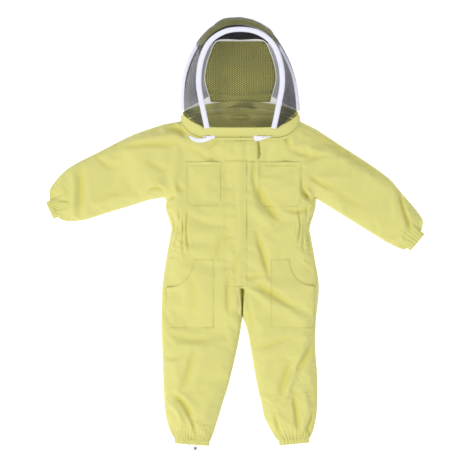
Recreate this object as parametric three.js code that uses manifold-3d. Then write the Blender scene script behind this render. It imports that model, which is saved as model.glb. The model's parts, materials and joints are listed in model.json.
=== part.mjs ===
// A child's beekeeping coverall with a zip-on hooped veil, laid out on its back.
// Millimetres. +X is the wearer's left, +Y runs from the ankles to the head, +Z is up out of the chest.
// The origin is on the surface that the back lies on, on the centre-front line, at the waist.
import * as THREE from 'three';
import { mergeVertices } from 'three/addons/utils/BufferGeometryUtils.js';
import Module from 'manifold-3d';

const wasm = await Module();
wasm.setup();

// ---------- driving dimensions ----------

// Cloth and layers
const wall = 2.5; // quilted stand-in thickness of one layer of cotton
const loft = 40; // height of the garment as it lies, back to front
const edgeRound = 20; // how far in from the outline the cloth turns over
const edgeRise = 16; // height of that turn
const seamHeight = 20; // where the side seams join the back to the front
const touch = 0.3; // gap between pieces that touch
const veilWall = 1.4;
const facingWall = 1.2;
const hemRise = 15; // half the height of an elasticated hem
const hemWall = 4;

// Trunk
const armpitLevel = 122;
const waistLevel = 20;
const hipLevel = -170;
const crotchLevel = -264;
const crotchX = 7;
const shoulderLevel = 378;
const backNeckLevel = 424;
const chestHalf = 247;
const waistHalf = 229;
const hipHalf = 259;
const neckHalf = 200;

// Limbs. Rails are [share of the length, distance from the axis].
const jointGap = 2.5; // between a limb's round end and the trunk
const legSplit = 1.5; // from the centre line to either leg at the crotch
const hem = 16; // length of each elasticated hem
const hemSpare = 26;
const limbs = {
  right_sleeve: {
    hinge: [-(chestHalf + 57), armpitLevel + 113],
    radius: 127,
    length: 360,
    angle: 204.9,
    endHalf: 30,
    upper: [[0.02, 112], [0.35, 108], [0.68, 102], [0.88, 73], [0.955, 52]],
    lower: [[0.14, 105], [0.3, 98], [0.6, 83], [0.75, 76], [0.885, 57], [0.96, 41]],
  },
  left_sleeve: {
    hinge: [chestHalf + 83, armpitLevel + 68],
    radius: 104,
    length: 332,
    angle: -39.6,
    endHalf: 36,
    upper: [[-0.19, 86], [0.1, 97], [0.37, 103], [0.57, 92], [0.78, 80], [0.9, 70], [0.955, 55]],
    lower: [[0.12, 94], [0.4, 81], [0.58, 73], [0.77, 64], [0.94, 47]],
  },
  right_leg: {
    hinge: [crotchX - 134, crotchLevel + 24],
    radius: 134,
    length: 451,
    angle: 265.7,
    endHalf: 57,
    upper: [[0.12, 131], [0.3, 122], [0.53, 111], [0.76, 97], [0.87, 83], [0.94, 70]],
    lower: [[0.16, 131], [0.31, 123], [0.55, 105], [0.67, 92], [0.79, 80], [0.91, 67]],
  },
  left_leg: {
    hinge: [crotchX + 127, crotchLevel + 24],
    radius: 127,
    length: 450,
    angle: -84.4,
    endHalf: 50,
    upper: [[0.12, 110], [0.3, 100], [0.53, 97], [0.76, 86], [0.88, 72], [0.95, 60]],
    lower: [[0.13, 118], [0.25, 113], [0.55, 103], [0.67, 95], [0.79, 89], [0.91, 66]],
  },
};

// Front closure
const slotHalf = 8; // half the opening between the front panels at the zip
const tapeWidth = 10.3;
const tapeThick = 0.8;
const tapeSlit = 0.7; // half the slit that a slider's post runs in
const toothWidth = 2.8;
const toothHeight = 2.2;
const zipTop = 312;
const zipBottom = -158;
const sliderLength = 13;
const sliderHalf = 5.5;
const plate = 1.3; // thickness of a slider's plates
const postHalf = 0.4;
const rightHoodSlider = 92; // where each hood slider is parked, from the centre
const leftHoodSlider = 50;
const pullLength = 30;
const pullHalf = 3.5;
const pullThick = 1.2;
const flapLeft = -56;
const flapRight = 20;
const flapClear = 4.4; // room for the slider and its pull under the flaps
const flapTop = 247;
const flapBottom = -166;
const throatRight = 56;
const throatBottom = 250;
const throatTop = 311;

// Pockets
const pocketDepth = 5.2;
const pocketSeam = 4;
const pocketCorner = 14; // cut off each lower corner of a chest pocket
const chestPockets = {
  right_chest_pocket: { left: -178, right: -64, bottom: 99, top: 245 },
  left_chest_pocket: { left: 60, right: 200, bottom: 96, top: 245 },
};
const handOpening = 84; // radius of the curved hand opening
const hipPockets = {
  right_hip_pocket: { left: -238, right: -88, bottom: -304, top: -78, opensAt: -1 },
  left_hip_pocket: { left: 100, right: 236, bottom: -304, top: -78, opensAt: 1 },
};

// Hood: loops and arches are given from the front centre or the right base, for the wearer's right half.
const zipLevel = 326; // the hood zip where it crosses the front
const bandHeight = 21; // how far the hood's band stands up from the zip
const hoodTop = 702;
const frontHoopTop = 676;
const frontLean = Math.tan(THREE.MathUtils.degToRad(21));
const rearHoopRise = 86;
const rearTilt = THREE.MathUtils.degToRad(-50); // the rear tape stands in line with the side veils
const hoopWidth = 18;
const hoopThick = 5;
const hoopChannel = 3.6;
const hoopRod = 2.6;
const hoopFoldBulge = 17;
const crownBulge = 24;
const backPanelTop = 642;

// Ankle drawcord
const cordRadius = 1.3;
const toggleRadius = 5.6;
const toggleLength = 9;
const buttonRadius = 1.6;
const buttonTravel = 1.5;
const knotRadius = 2.6;

// ---------- looks ----------

function look(color, roughness, metalness = 0) {
  return new THREE.MeshStandardMaterial({ color, roughness, metalness });
}
const cotton = look(0xe3df90, 0.9);
const cottonLining = look(0xd9d586, 0.92);
const mesh = look(0x2a2c2f, 0.8);
const hoopTape = look(0xe9e7f0, 0.8);
const steel = look(0xb5b7ba, 0.35, 0.9);
const elastic = look(0xf2f1ea, 0.85);
const zipTape = look(0xeeeef2, 0.85);
const nylon = look(0xe6e6ea, 0.45);
const hookTape = look(0xdedb9a, 0.95);
const togglePlastic = look(0xa9a7b0, 0.5);

// ---------- geometry helpers ----------

// A closed mesh as a manifold-3d solid.
function solid(geometry) {
  const bare = geometry.index ? geometry.toNonIndexed() : geometry.clone();
  bare.deleteAttribute('normal');
  bare.deleteAttribute('uv');
  const merged = mergeVertices(bare, 1e-3);
  return new wasm.Manifold(new wasm.Mesh({
    numProp: 3,
    vertProperties: merged.attributes.position.array,
    triVerts: new Uint32Array(merged.index.array),
  }));
}

// The largest body of a solid, so that a cut leaves no crumbs.
function largest(made) {
  return made.decompose().sort((a, b) => b.volume() - a.volume())[0];
}

function geometryOf(made) {
  const { vertProperties, triVerts, numProp } = made.getMesh();
  const positions = new Float32Array((vertProperties.length / numProp) * 3);
  for (let i = 0; i < positions.length / 3; i++) {
    positions.set(vertProperties.subarray(i * numProp, i * numProp + 3), i * 3);
  }
  return new THREE.BufferGeometry()
    .setAttribute('position', new THREE.BufferAttribute(positions, 3))
    .setIndex(new THREE.BufferAttribute(triVerts, 1));
}

// A straight-sided block over a plan outline, from one height to another.
function block(shape, low, high, curveSegments = 6) {
  const made = new THREE.ExtrudeGeometry(shape, { depth: high - low, bevelEnabled: false, curveSegments });
  return solid(made.translate(0, 0, low));
}

function box(x0, x1, y0, y1, z0, z1) {
  const made = new THREE.BoxGeometry(x1 - x0, y1 - y0, z1 - z0);
  return solid(made.translate((x0 + x1) / 2, (y0 + y1) / 2, (z0 + z1) / 2));
}

// An upright round post over a plan point.
function post(x, y, radius, low, high, sides = 40) {
  const made = new THREE.CylinderGeometry(radius, radius, high - low, sides);
  return solid(made.rotateX(Math.PI / 2).translate(x, y, (low + high) / 2));
}

// The garment's pillow over its outline: flat below and above, and turned over along the edge.
function pillow(shape, inset, low, high) {
  const made = new THREE.ExtrudeGeometry(shape, {
    depth: high - low - 2 * edgeRise,
    bevelThickness: edgeRise,
    bevelSize: edgeRound,
    bevelOffset: -edgeRound - inset,
    bevelSegments: 2,
    curveSegments: 1,
  });
  return solid(made.translate(0, 0, low + edgeRise));
}

// A BufferGeometry from rows of points that close on themselves, capped or joined end to end.
function facesToGeometry(points, faces) {
  const geometry = new THREE.BufferGeometry().setFromPoints(points);
  let volume = 0;
  for (const [a, b, c] of faces) volume += points[a].dot(points[b].clone().cross(points[c]));
  const index = faces.flatMap(([a, b, c]) => (volume > 0 ? [a, b, c] : [a, c, b]));
  return geometry.setIndex(index);
}

// A sheet of even thickness over at(u, v). With around true the sheet closes on itself along v.
function sheet(at, rows, columns, thickness, around = false) {
  const wide = around ? columns : columns + 1;
  const step = 1e-3;
  const sides = [1, -1].map((side) => {
    const points = [];
    for (let i = 0; i <= rows; i++) {
      for (let j = 0; j < wide; j++) {
        const u = i / rows;
        const v = j / columns;
        const u0 = Math.max(u - step, 0);
        const u1 = Math.min(u + step, 1);
        const v0 = around ? v - step : Math.max(v - step, 0);
        const v1 = around ? v + step : Math.min(v + step, 1);
        const along = at(u1, v).sub(at(u0, v));
        const across = at(u, v1).sub(at(u, v0));
        const normal = along.cross(across).normalize();
        points.push(at(u, v).addScaledVector(normal, (side * thickness) / 2));
      }
    }
    return points;
  });
  const count = sides[0].length;
  const faces = [];
  const quad = (a, b, c, d) => faces.push([a, b, c], [a, c, d]);
  const id = (i, j, side) => i * wide + (j % wide) + side * count;
  for (let i = 0; i < rows; i++) {
    for (let j = 0; j < columns; j++) {
      quad(id(i, j, 0), id(i + 1, j, 0), id(i + 1, j + 1, 0), id(i, j + 1, 0));
      quad(id(i, j + 1, 1), id(i + 1, j + 1, 1), id(i + 1, j, 1), id(i, j, 1));
    }
  }
  for (let j = 0; j < columns; j++) {
    quad(id(0, j + 1, 0), id(0, j + 1, 1), id(0, j, 1), id(0, j, 0));
    quad(id(rows, j, 0), id(rows, j, 1), id(rows, j + 1, 1), id(rows, j + 1, 0));
  }
  if (!around) {
    for (let i = 0; i < rows; i++) {
      quad(id(i, 0, 0), id(i, 0, 1), id(i + 1, 0, 1), id(i + 1, 0, 0));
      quad(id(i + 1, columns, 0), id(i + 1, columns, 1), id(i, columns, 1), id(i, columns, 0));
    }
  }
  return facesToGeometry([...sides[0], ...sides[1]], faces);
}

// A bar of rectangular section along frames {at, side, up}, with an optional channel through it.
function bar(frames, width, height, channel = 0) {
  const ring = (frame, w, h) => [[-w, -h], [w, -h], [w, h], [-w, h]].map(([s, t]) =>
    frame.at.clone().addScaledVector(frame.side, s / 2).addScaledVector(frame.up, t / 2));
  const points = [];
  const corners = channel ? 8 : 4;
  for (const frame of frames) {
    points.push(...ring(frame, width, height));
    if (channel) points.push(...ring(frame, channel, channel));
  }
  const faces = [];
  const quad = (a, b, c, d) => faces.push([a, b, c], [a, c, d]);
  const last = frames.length - 1;
  for (let k = 0; k < 4; k++) {
    const n = (k + 1) % 4;
    for (let i = 0; i < last; i++) {
      const a = i * corners;
      const b = (i + 1) * corners;
      quad(a + k, a + n, b + n, b + k);
      if (channel) quad(a + 4 + n, a + 4 + k, b + 4 + k, b + 4 + n);
    }
    if (channel) {
      quad(k, k + 4, n + 4, n);
      const z = last * corners;
      quad(z + k, z + n, z + n + 4, z + k + 4);
    }
  }
  if (!channel) {
    quad(3, 2, 1, 0);
    const z = last * corners;
    quad(z, z + 1, z + 2, z + 3);
  }
  return facesToGeometry(points, faces);
}

const point = (x, y, z) => new THREE.Vector3(x, y, z);
const planShape = (corners) => new THREE.Shape(corners.map(([x, y]) => new THREE.Vector2(x, y)));
const group = new THREE.Group();

function add(name, geometry, material) {
  const made = new THREE.Mesh(geometry.isBufferGeometry ? geometry : geometryOf(geometry), material);
  made.name = name;
  group.add(made);
  return made;
}

// ---------- the garment's outline ----------

// A limb's frame: its axis points away from the trunk, and its upper rail is on the `upperSide`.
function limbFrame(limb, upperSide) {
  const angle = THREE.MathUtils.degToRad(limb.angle);
  const along = new THREE.Vector2(Math.cos(angle), Math.sin(angle));
  const across = new THREE.Vector2(-along.y, along.x).multiplyScalar(upperSide);
  const at = (distance, offset) => new THREE.Vector2(...limb.hinge)
    .addScaledVector(along, distance).addScaledVector(across, offset);
  return { along, across, at, angle };
}

const frames = {
  right_sleeve: limbFrame(limbs.right_sleeve, -1),
  left_sleeve: limbFrame(limbs.left_sleeve, 1),
  right_leg: limbFrame(limbs.right_leg, -1),
  left_leg: limbFrame(limbs.left_leg, 1),
};

function rail(name, side) {
  const limb = limbs[name];
  const { at } = frames[name];
  const sign = side === 'upper' ? 1 : -1;
  const run = limb[side].map(([share, offset]) => at(share * limb.length, sign * offset));
  run.push(at(limb.length, sign * limb.endHalf));
  return run;
}

function limbEnd(name) {
  const limb = limbs[name];
  const { at } = frames[name];
  return [at(limb.length + hemSpare, limb.endHalf), at(limb.length + hemSpare, -limb.endHalf)];
}

function garmentOutline() {
  const side = (sign) => [
    [chestHalf + 2, armpitLevel + 3],
    [chestHalf, armpitLevel - 32],
    [waistHalf, waistLevel + 8],
    [waistHalf + 3, waistLevel - 20],
    [hipHalf - 11, hipLevel + 80],
    [hipHalf, hipLevel],
  ].map(([x, y]) => new THREE.Vector2(sign * x, y));
  const shape = new THREE.Shape();
  const start = new THREE.Vector2(-neckHalf, shoulderLevel);
  const spline = (points) => shape.splineThru(points);
  const line = (p) => shape.lineTo(p.x, p.y);
  const limb = (name, first) => {
    const out = rail(name, first);
    const back = rail(name, first === 'upper' ? 'lower' : 'upper').reverse();
    spline(out);
    const tip = limbEnd(name);
    (first === 'upper' ? tip : tip.reverse()).forEach(line);
    line(back[0]);
    spline(back.slice(1));
  };
  shape.moveTo(start.x, start.y);
  line(new THREE.Vector2(-neckHalf - 52, shoulderLevel - 8));
  limb('right_sleeve', 'upper');
  spline(side(-1));
  limb('right_leg', 'upper');
  line(new THREE.Vector2(crotchX, crotchLevel));
  limb('left_leg', 'lower');
  spline(side(1).reverse());
  limb('left_sleeve', 'lower');
  line(new THREE.Vector2(neckHalf + 52, shoulderLevel - 26));
  line(new THREE.Vector2(neckHalf, shoulderLevel));
  const backNeck = [
    [neckHalf / 2, backNeckLevel - 14],
    [0, backNeckLevel],
    [-neckHalf / 2, backNeckLevel - 14],
    [-neckHalf, shoulderLevel],
  ];
  spline(backNeck.map(([x, y]) => new THREE.Vector2(x, y)));
  return shape;
}

// ---------- hood curves ----------

// Mirrors the wearer's-right half of a loop or arch onto the left.
function mirrored(half, shared) {
  const other = half.slice(shared, half.length - (shared ? 1 : 0)).reverse();
  return [...half, ...other.map(([x, y, z]) => [-x, y, z])].map((p) => point(...p));
}

// An arch through its right half and its apex, without the apex twice.
function archThrough(half, apex) {
  const points = mirrored([...half, apex], 0);
  const apart = points.filter((p, i) => i === 0 || p.distanceTo(points[i - 1]) > 1);
  return new THREE.CatmullRomCurve3(apart, false, 'centripetal');
}

const clothTop = loft + touch + tapeThick / 2;
const zipHalf = [
  [0, zipLevel, clothTop],
  [-50, zipLevel, clothTop],
  [-100, zipLevel, clothTop],
  [-130, zipLevel, clothTop],
  [-170, zipLevel + 17, clothTop],
  [-195, zipLevel + 58, 26],
  [-160, zipLevel + 78, 8],
  [-85, zipLevel + 90, 4.6],
  [0, zipLevel + 96, 4.2],
];
const zipLoop = new THREE.CatmullRomCurve3(mirrored(zipHalf, 1), true, 'centripetal');
const bandTop = loft + bandHeight;
const bandFront = zipLevel + 31; // where the band's top edge crosses the front
const veilHalf = [
  [0, bandFront, bandTop],
  [-48, bandFront, bandTop],
  [-92, bandFront + 1, bandTop],
  [-118, bandFront + 4, bandTop - 2],
  [-154, bandFront + 17, bandTop - 8],
  [-190, bandFront + 49, 38],
  [-154, bandFront + 69, 12],
  [-84, bandFront + 83, 5.6],
  [0, bandFront + 90, 5],
];
const veilLoop = new THREE.CatmullRomCurve3(mirrored(veilHalf, 1), true, 'centripetal');

const hoopBase = zipLevel + 42;
const frontHoopHeight = (y) => bandTop + (y - bandFront) * frontLean;
const frontHalf = [
  [-109, hoopBase], [-124, 425], [-137, 505], [-127, 582], [-98, 638], [-52, 668],
].map(([x, y]) => [x, y, frontHoopHeight(y)]);
const frontArch = archThrough(frontHalf, [0, frontHoopTop, frontHoopHeight(frontHoopTop)]);
const rearFoot = hoopBase + 46; // where the rear hoop's ends meet the band
const rearFootRise = 42;
const rearSlope = (rearHoopRise - rearFootRise) / (hoodTop - rearFoot);
const rearHoopHeight = (y) => rearFootRise + (y - rearFoot) * rearSlope;
const rearHalf = [
  [-191, rearFoot], [-187, 460], [-174, 535], [-148, 602], [-108, 660], [-56, 691],
].map(([x, y]) => [x, y, rearHoopHeight(y)]);
const rearArch = archThrough(rearHalf, [0, hoodTop, rearHoopRise]);
const backHalf = [[-102, 462, 5], [-116, 515, 4], [-112, 560, 3], [-98, 605, 3], [-78, backPanelTop, 4]];
const backArch = archThrough(backHalf, [0, backPanelTop + 3, 4]);

// Frames along a hoop, whose side points away from the hood's middle.
function hoopFrame(arch, t, up, tilt) {
  const tangent = arch.getTangentAt(t);
  const flat = up.clone().cross(tangent).normalize();
  const side = flat.clone().applyAxisAngle(tangent, tilt);
  return { at: arch.getPointAt(t), side, up: tangent.clone().cross(side).normalize() };
}
const hoopFrames = (arch, count, up, tilt) =>
  Array.from({ length: count + 1 }, (_, i) => hoopFrame(arch, i / count, up, tilt));
const frontUp = point(0, -frontLean, 1).normalize();
const rearUp = point(0, -0.15, 1).normalize();

// ---------- trunk and limbs ----------

const reach = 900; // beyond every edge of the garment
const outline = garmentOutline();
const garment = pillow(outline, 0, 0, loft).subtract(pillow(outline, wall, wall, loft - wall));

// The plan region that belongs to a limb: all beyond its hinge line, and a round end about its hinge.
function limbRegion(name, grow) {
  const limb = limbs[name];
  const { at, angle } = frames[name];
  const middle = at(reach / 2 - grow, 0);
  const plan = new THREE.BoxGeometry(reach, reach, 2 * loft).rotateZ(angle);
  plan.translate(middle.x, middle.y, loft / 2);
  const beyond = solid(plan);
  const round = post(...limb.hinge, limb.radius + grow, -loft, 2 * loft, 64);
  const strip = (x0, x1, y0, y1) => box(x0, x1, y0, y1, -2 * loft, 3 * loft);
  const whole = beyond.add(round);
  if (name === 'right_leg') return whole.intersect(strip(-reach, crotchX - legSplit + grow, -reach, 0));
  if (name === 'left_leg') return whole.intersect(strip(crotchX + legSplit - grow, reach, -reach, 0));
  const side = Math.sign(limb.hinge[0]);
  const trunkEdge = side * (chestHalf + 6);
  const trunkSide = strip(Math.min(0, trunkEdge), Math.max(0, trunkEdge), -reach, reach);
  return beyond.subtract(trunkSide).add(round);
}

// Everything past a limb's cut end.
function pastHem(name) {
  const { at, angle } = frames[name];
  const middle = at(limbs[name].length - hem + reach / 2, 0);
  const past = new THREE.BoxGeometry(reach, 2 * limbs[name].endHalf + 30, 4 * loft);
  return solid(past.rotateZ(angle).translate(middle.x, middle.y, 0));
}

const below = box(-reach, reach, -reach, reach, -loft, seamHeight - touch / 2);
const above = box(-reach, reach, -reach, reach, seamHeight + touch / 2, 2 * loft);

for (const name of Object.keys(limbs)) {
  const limb = garment.intersect(limbRegion(name, 0)).subtract(pastHem(name));
  add(`${name}_back`, largest(limb.intersect(below)), cotton);
  add(`${name}_front`, largest(limb.intersect(above)), cotton);
}

// The neck hole: everything above the zip's lower tape, down to the back layer.
function neckHole() {
  const half = zipHalf.slice(0, 6).map(([x, y]) => [x, y - tapeWidth - tapeSlit - 1]);
  const rim = [[-neckHalf - 8, half[5][1]], [-neckHalf - 8, reach / 2]];
  const right = [...half.slice(0, 5), ...rim];
  const run = [...right.slice(1).reverse(), ...right.map(([x, y]) => [-x, y])];
  return block(planShape(run), wall + touch, 3 * loft);
}

const limbRegions = Object.keys(limbs).map((name) => limbRegion(name, jointGap));
const trunk = limbRegions.reduce((left, region) => left.subtract(region), garment).subtract(neckHole());
const zipSlot = box(-slotHalf, slotHalf, zipBottom - 6, backNeckLevel, seamHeight, 2 * loft);
add('back_body', largest(trunk.intersect(below)), cotton);
const trunkFront = trunk.intersect(above).subtract(zipSlot);
const rightHalf = box(-reach, -touch, -reach, reach, 0, loft);
const leftHalf = box(touch, reach, -reach, reach, 0, loft);
add('right_front_body', largest(trunkFront.intersect(rightHalf)), cotton);
add('left_front_body', largest(trunkFront.intersect(leftHalf)), cotton);

// ---------- hems and elastics ----------

// A flattened ring around a limb's end, as a plan-width by height racetrack.
function racetrack(halfWidth, halfHeight) {
  const shape = new THREE.Shape();
  const straight = halfWidth - halfHeight;
  shape.absarc(straight, 0, halfHeight, -Math.PI / 2, Math.PI / 2, false);
  shape.absarc(-straight, 0, halfHeight, Math.PI / 2, (3 * Math.PI) / 2, false);
  return shape;
}

function hemRing(name, outerHalf, outerRise, thickness, start, length) {
  const ring = racetrack(outerHalf, outerRise);
  ring.holes.push(racetrack(outerHalf - thickness, outerRise - thickness));
  const made = new THREE.ExtrudeGeometry(ring, { depth: length, bevelEnabled: false, curveSegments: 5 });
  const { at, angle } = frames[name];
  const place = at(start, 0);
  return made.rotateX(Math.PI / 2).rotateZ(Math.PI / 2 + angle).translate(place.x, place.y, hemRise);
}

const elasticWall = 1.6;
const elasticInset = 3; // from a hem's inner end to its elastic
const elasticWidth = 9;
for (const [name, limb] of Object.entries(limbs)) {
  const start = limb.length - hem + touch;
  add(`${name}_hem`, hemRing(name, limb.endHalf, hemRise, hemWall, start, hem - touch), cotton);
  const inside = hemWall + touch;
  const band = [limb.endHalf - inside, hemRise - inside, elasticWall, start + elasticInset, elasticWidth];
  add(`${name}_elastic`, hemRing(name, ...band), elastic);
}

// A strip across the back waist, so far in from the side seams and so far either side of the waist line.
function waistStrip(inset, half, low, high) {
  const end = waistHalf - inset;
  return box(-end, end, waistLevel - half, waistLevel + half, wall + low, wall + high);
}
const waistCasing = waistStrip(45, 16, touch, touch + 3.6);
const waistChannel = waistStrip(0, 12, 1.4, 3);
add('waist_casing', waistCasing.subtract(waistChannel), cottonLining);
add('waist_elastic', waistStrip(50, 11, 1.6, 2.8), elastic);

// ---------- pockets ----------

// A patch pocket: a plate on three sewn edges, open along the top or at the hand curve.
function pocket(shape, mouth, inner) {
  const low = loft + touch;
  const whole = block(shape, low, low + pocketDepth + wall, 8);
  const hollow = [low - 1, low + pocketDepth];
  return largest(whole.subtract(inner(...hollow)).subtract(mouth(...hollow)));
}

for (const [name, { left, right, bottom, top }] of Object.entries(chestPockets)) {
  const shape = planShape([
    [left, bottom + pocketCorner],
    [left + pocketCorner, bottom],
    [right - pocketCorner, bottom],
    [right, bottom + pocketCorner],
    [right, top],
    [left, top],
  ]);
  const inside = (low, high) =>
    box(left + pocketSeam, right - pocketSeam, bottom + pocketCorner + 2, top + 5, low, high);
  add(name, pocket(shape, inside, inside), cotton);
}

for (const [name, { left, right, bottom, top, opensAt }] of Object.entries(hipPockets)) {
  const corner = opensAt < 0 ? left : right;
  const shape = planShape([[left, bottom], [right, bottom], [right, top], [left, top]]);
  const hand = (radius) => (low, high) => post(corner, top, radius, low, high, 48);
  const inside = (low, high) =>
    box(left + pocketSeam, right - pocketSeam, bottom + pocketSeam, top - pocketSeam, low, high);
  const made = pocket(shape, hand(handOpening + 1), inside).subtract(hand(handOpening)(0, 3 * loft));
  add(name, largest(made), cotton);
}

// ---------- front closure ----------

const toothRise = (toothHeight - tapeThick) / 2;
const tapeSewn = 3; // of the main zip's tape, under the cloth

// One side of the main zip: a tape with its row of teeth at the slit.
function zipSide(side, top) {
  const low = top - tapeThick;
  const run = (to, z0, z1) => {
    const ends = [side * tapeSlit, side * (tapeSlit + to)];
    return box(Math.min(...ends), Math.max(...ends), zipBottom, zipTop, z0, z1);
  };
  return run(tapeWidth + tapeSewn, low, top).add(run(toothWidth, low - toothRise, top + toothRise));
}

// A slider around a zip that runs along Y: two plates and the post between them.
function slider(top) {
  const high = top + toothRise + touch;
  const low = top - tapeThick - toothRise - touch;
  const half = sliderLength / 2;
  return box(-sliderHalf, sliderHalf, -half, half, high, high + plate)
    .add(box(-sliderHalf, sliderHalf, -half, half, low - plate, low))
    .add(box(-postHalf, postHalf, -half + 2, half - 2, low - 0.1, high + 0.1));
}

// A pull that lies from its pivot along -Y, with a grip hole at its free end.
function pull(low) {
  return box(-pullHalf, pullHalf, -pullLength, 0, low, low + pullThick)
    .subtract(box(-pullHalf + 1.8, pullHalf - 1.8, -pullLength + 2.5, -pullLength + 10, low - 1, low + 3));
}

const mainZipTop = loft - wall - touch;
const mainPullHeight = mainZipTop + toothRise + touch + plate + touch;
add('main_zip_right', zipSide(-1, mainZipTop), zipTape);
add('main_zip_left', zipSide(1, mainZipTop), zipTape);
const mainSliderY = zipTop - sliderLength / 2 - 6;
add('main_zip_slider', slider(mainZipTop).translate([0, mainSliderY, 0]), nylon);
add('main_zip_pull', pull(mainPullHeight).translate([0, mainSliderY - 2, 0]), nylon);
const stopLow = mainZipTop - tapeThick - toothRise;
const zipStop = box(-3.6, 3.6, zipBottom - 4.5, zipBottom - touch, stopLow, stopLow + toothHeight);
add('main_zip_stop', zipStop, nylon);

// The storm flap over the zip and the throat flap above it: each a plate with a sewn edge turned down.
const flapUnder = loft + flapClear - touch;
function flap(right, bottom, top) {
  return box(flapLeft, right, bottom, top, flapUnder, flapUnder + wall)
    .add(box(flapLeft, flapLeft + wall, bottom, top, loft + touch, flapUnder + 0.1));
}
add('storm_flap', flap(flapRight, flapBottom, flapTop), cotton);
add('throat_flap', flap(throatRight, throatBottom, throatTop), cotton);

// The hook patch under the throat flap, and the loop patch below it, 2 mm larger all round.
function patch(margin, low, high) {
  const left = throatRight - 24 - margin;
  const right = throatRight - 4 + margin;
  return box(left, right, throatBottom + 8 - margin, throatTop - 12 + margin, low, high);
}
add('throat_hook_patch', patch(0, flapUnder - touch - 1.4, flapUnder - touch), hookTape);
add('throat_loop_patch', patch(2, loft + touch, loft + touch + 1.5), hookTape);

// ---------- hood zip ----------

// A tape that follows the hood zip, on the trunk's side (-1) or the hood's side (1).
function loopTape(side) {
  const from = tapeSlit;
  const to = tapeSlit + tapeWidth;
  const at = (u, v) => zipLoop.getPoint((v + 1) % 1).add(point(0, side * (from + (to - from) * u), 0));
  return sheet(at, 1, 48, tapeThick, true);
}
add('neck_zip_tape', loopTape(-1), zipTape);
add('hood_zip_tape', loopTape(1), zipTape);

const hoodZipTop = clothTop + tapeThick / 2;
function hoodSlider(x) {
  const high = hoodZipTop + touch;
  const low = hoodZipTop - tapeThick - touch;
  const half = sliderLength / 2;
  const made = box(-half, half, -sliderHalf, sliderHalf, high, high + plate)
    .add(box(-half, half, -sliderHalf, sliderHalf, low - plate, low))
    .add(box(-half + 2, half - 2, -postHalf, postHalf, low - 0.1, high + 0.1));
  return made.translate([x, zipLevel, 0]);
}
const hoodPullHeight = hoodZipTop + touch + plate + touch;
for (const [side, x] of [['right', -rightHoodSlider], ['left', leftHoodSlider]]) {
  add(`${side}_hood_slider`, hoodSlider(x), nylon);
  const lying = pull(hoodPullHeight).rotate([0, 0, Math.sign(x) * 90]);
  add(`${side}_hood_pull`, lying.translate([x + Math.sign(x), zipLevel, 0]), nylon);
}

// ---------- hood ----------

const bandFoot = tapeSlit + tapeWidth + 1;
const bandAt = (u, v) => {
  const foot = zipLoop.getPoint((v + 1) % 1).add(point(0, bandFoot, touch));
  return foot.lerp(veilLoop.getPoint((v + 1) % 1), u);
};
add('hood_band', sheet(bandAt, 2, 48, wall - 0.5, true), cotton);

const hoopSteps = 30;
const casingOf = (run) => bar(run, hoopWidth, hoopThick, hoopChannel);
const rodOf = (run) => bar(run, hoopRod, hoopRod);
const frontRun = hoopFrames(frontArch, hoopSteps, frontUp, 0);
const rearRun = hoopFrames(rearArch, hoopSteps, rearUp, rearTilt);
add('front_hoop_casing', casingOf(frontRun), hoopTape);
add('front_hoop_rod', rodOf(frontRun), steel);
add('rear_hoop_casing', casingOf(rearRun), hoopTape);
add('rear_hoop_rod', rodOf(rearRun), steel);

// A point off a hoop's centreline: out along its tape's width, and up along its thickness.
function besideHoop(arch, up, t, out, lift = 0, tilt = 0) {
  const frame = hoopFrame(arch, t, up, tilt);
  return frame.at.addScaledVector(frame.side, out).addScaledVector(frame.up, lift);
}

const hoopEdge = hoopWidth / 2 + 2;
const rearDrop = hoopThick / 2 + 2.6; // from the rear hoop down to the net below it
const hoodMiddle = point(0, 500, 70);

// The mesh between two arches, bulged away from the hood's middle.
function between(first, second, bulge, from, to) {
  return (u, v) => {
    const t = from + (to - from) * v;
    const a = first(t);
    const b = second(t);
    const away = a.clone().lerp(b, 0.5).sub(hoodMiddle).setZ(0).normalize();
    return a.lerp(b, u).addScaledVector(away, bulge * 4 * u * (1 - u));
  };
}
const outsideFront = (t) => besideHoop(frontArch, frontUp, t, hoopEdge + 1.5);
const aboveRear = (t) => besideHoop(rearArch, rearUp, t, -hoopEdge, 0, rearTilt);
const insideRear = (t) => besideHoop(rearArch, rearUp, t, 0, -rearDrop, rearTilt);
const besideBack = (t) => {
  const p = backArch.getPointAt(t);
  const away = p.clone().sub(hoodMiddle).setZ(0).normalize();
  return p.addScaledVector(away, 3);
};

// The nets run from share to share of the hoops' length, clear of the band at the foot.
const netFoot = 0.02;
const crownFrom = 0.37;
const seam = 0.003;
const sideNet = (from, to) =>
  sheet(between(outsideFront, aboveRear, hoopFoldBulge, from, to), 4, 8, veilWall);
add('right_side_veil', sideNet(netFoot, crownFrom - seam), mesh);
const crownNet = between(outsideFront, aboveRear, crownBulge, crownFrom, 1 - crownFrom);
add('crown_veil', sheet(crownNet, 3, 6, veilWall), mesh);
add('left_side_veil', sideNet(1 - netFoot, 1 - crownFrom + seam), mesh);
add('rear_veil', sheet(between(insideRear, besideBack, 0, netFoot, 1 - netFoot), 3, 24, veilWall), mesh);

// The front veil spans the front hoop from side to side, domed outwards.
const frontVeilBulge = 12;
const frontVeilAt = (u, v) => {
  const t = netFoot + 0.43 * u;
  const a = besideHoop(frontArch, frontUp, t, -hoopEdge);
  const b = besideHoop(frontArch, frontUp, 1 - t, -hoopEdge);
  const dome = frontVeilBulge * (1 - (2 * v - 1) ** 2) * Math.sin(Math.PI * u);
  return a.lerp(b, v).add(point(0, 0, dome));
};
add('front_veil', sheet(frontVeilAt, 8, 6, veilWall), mesh);

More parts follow.
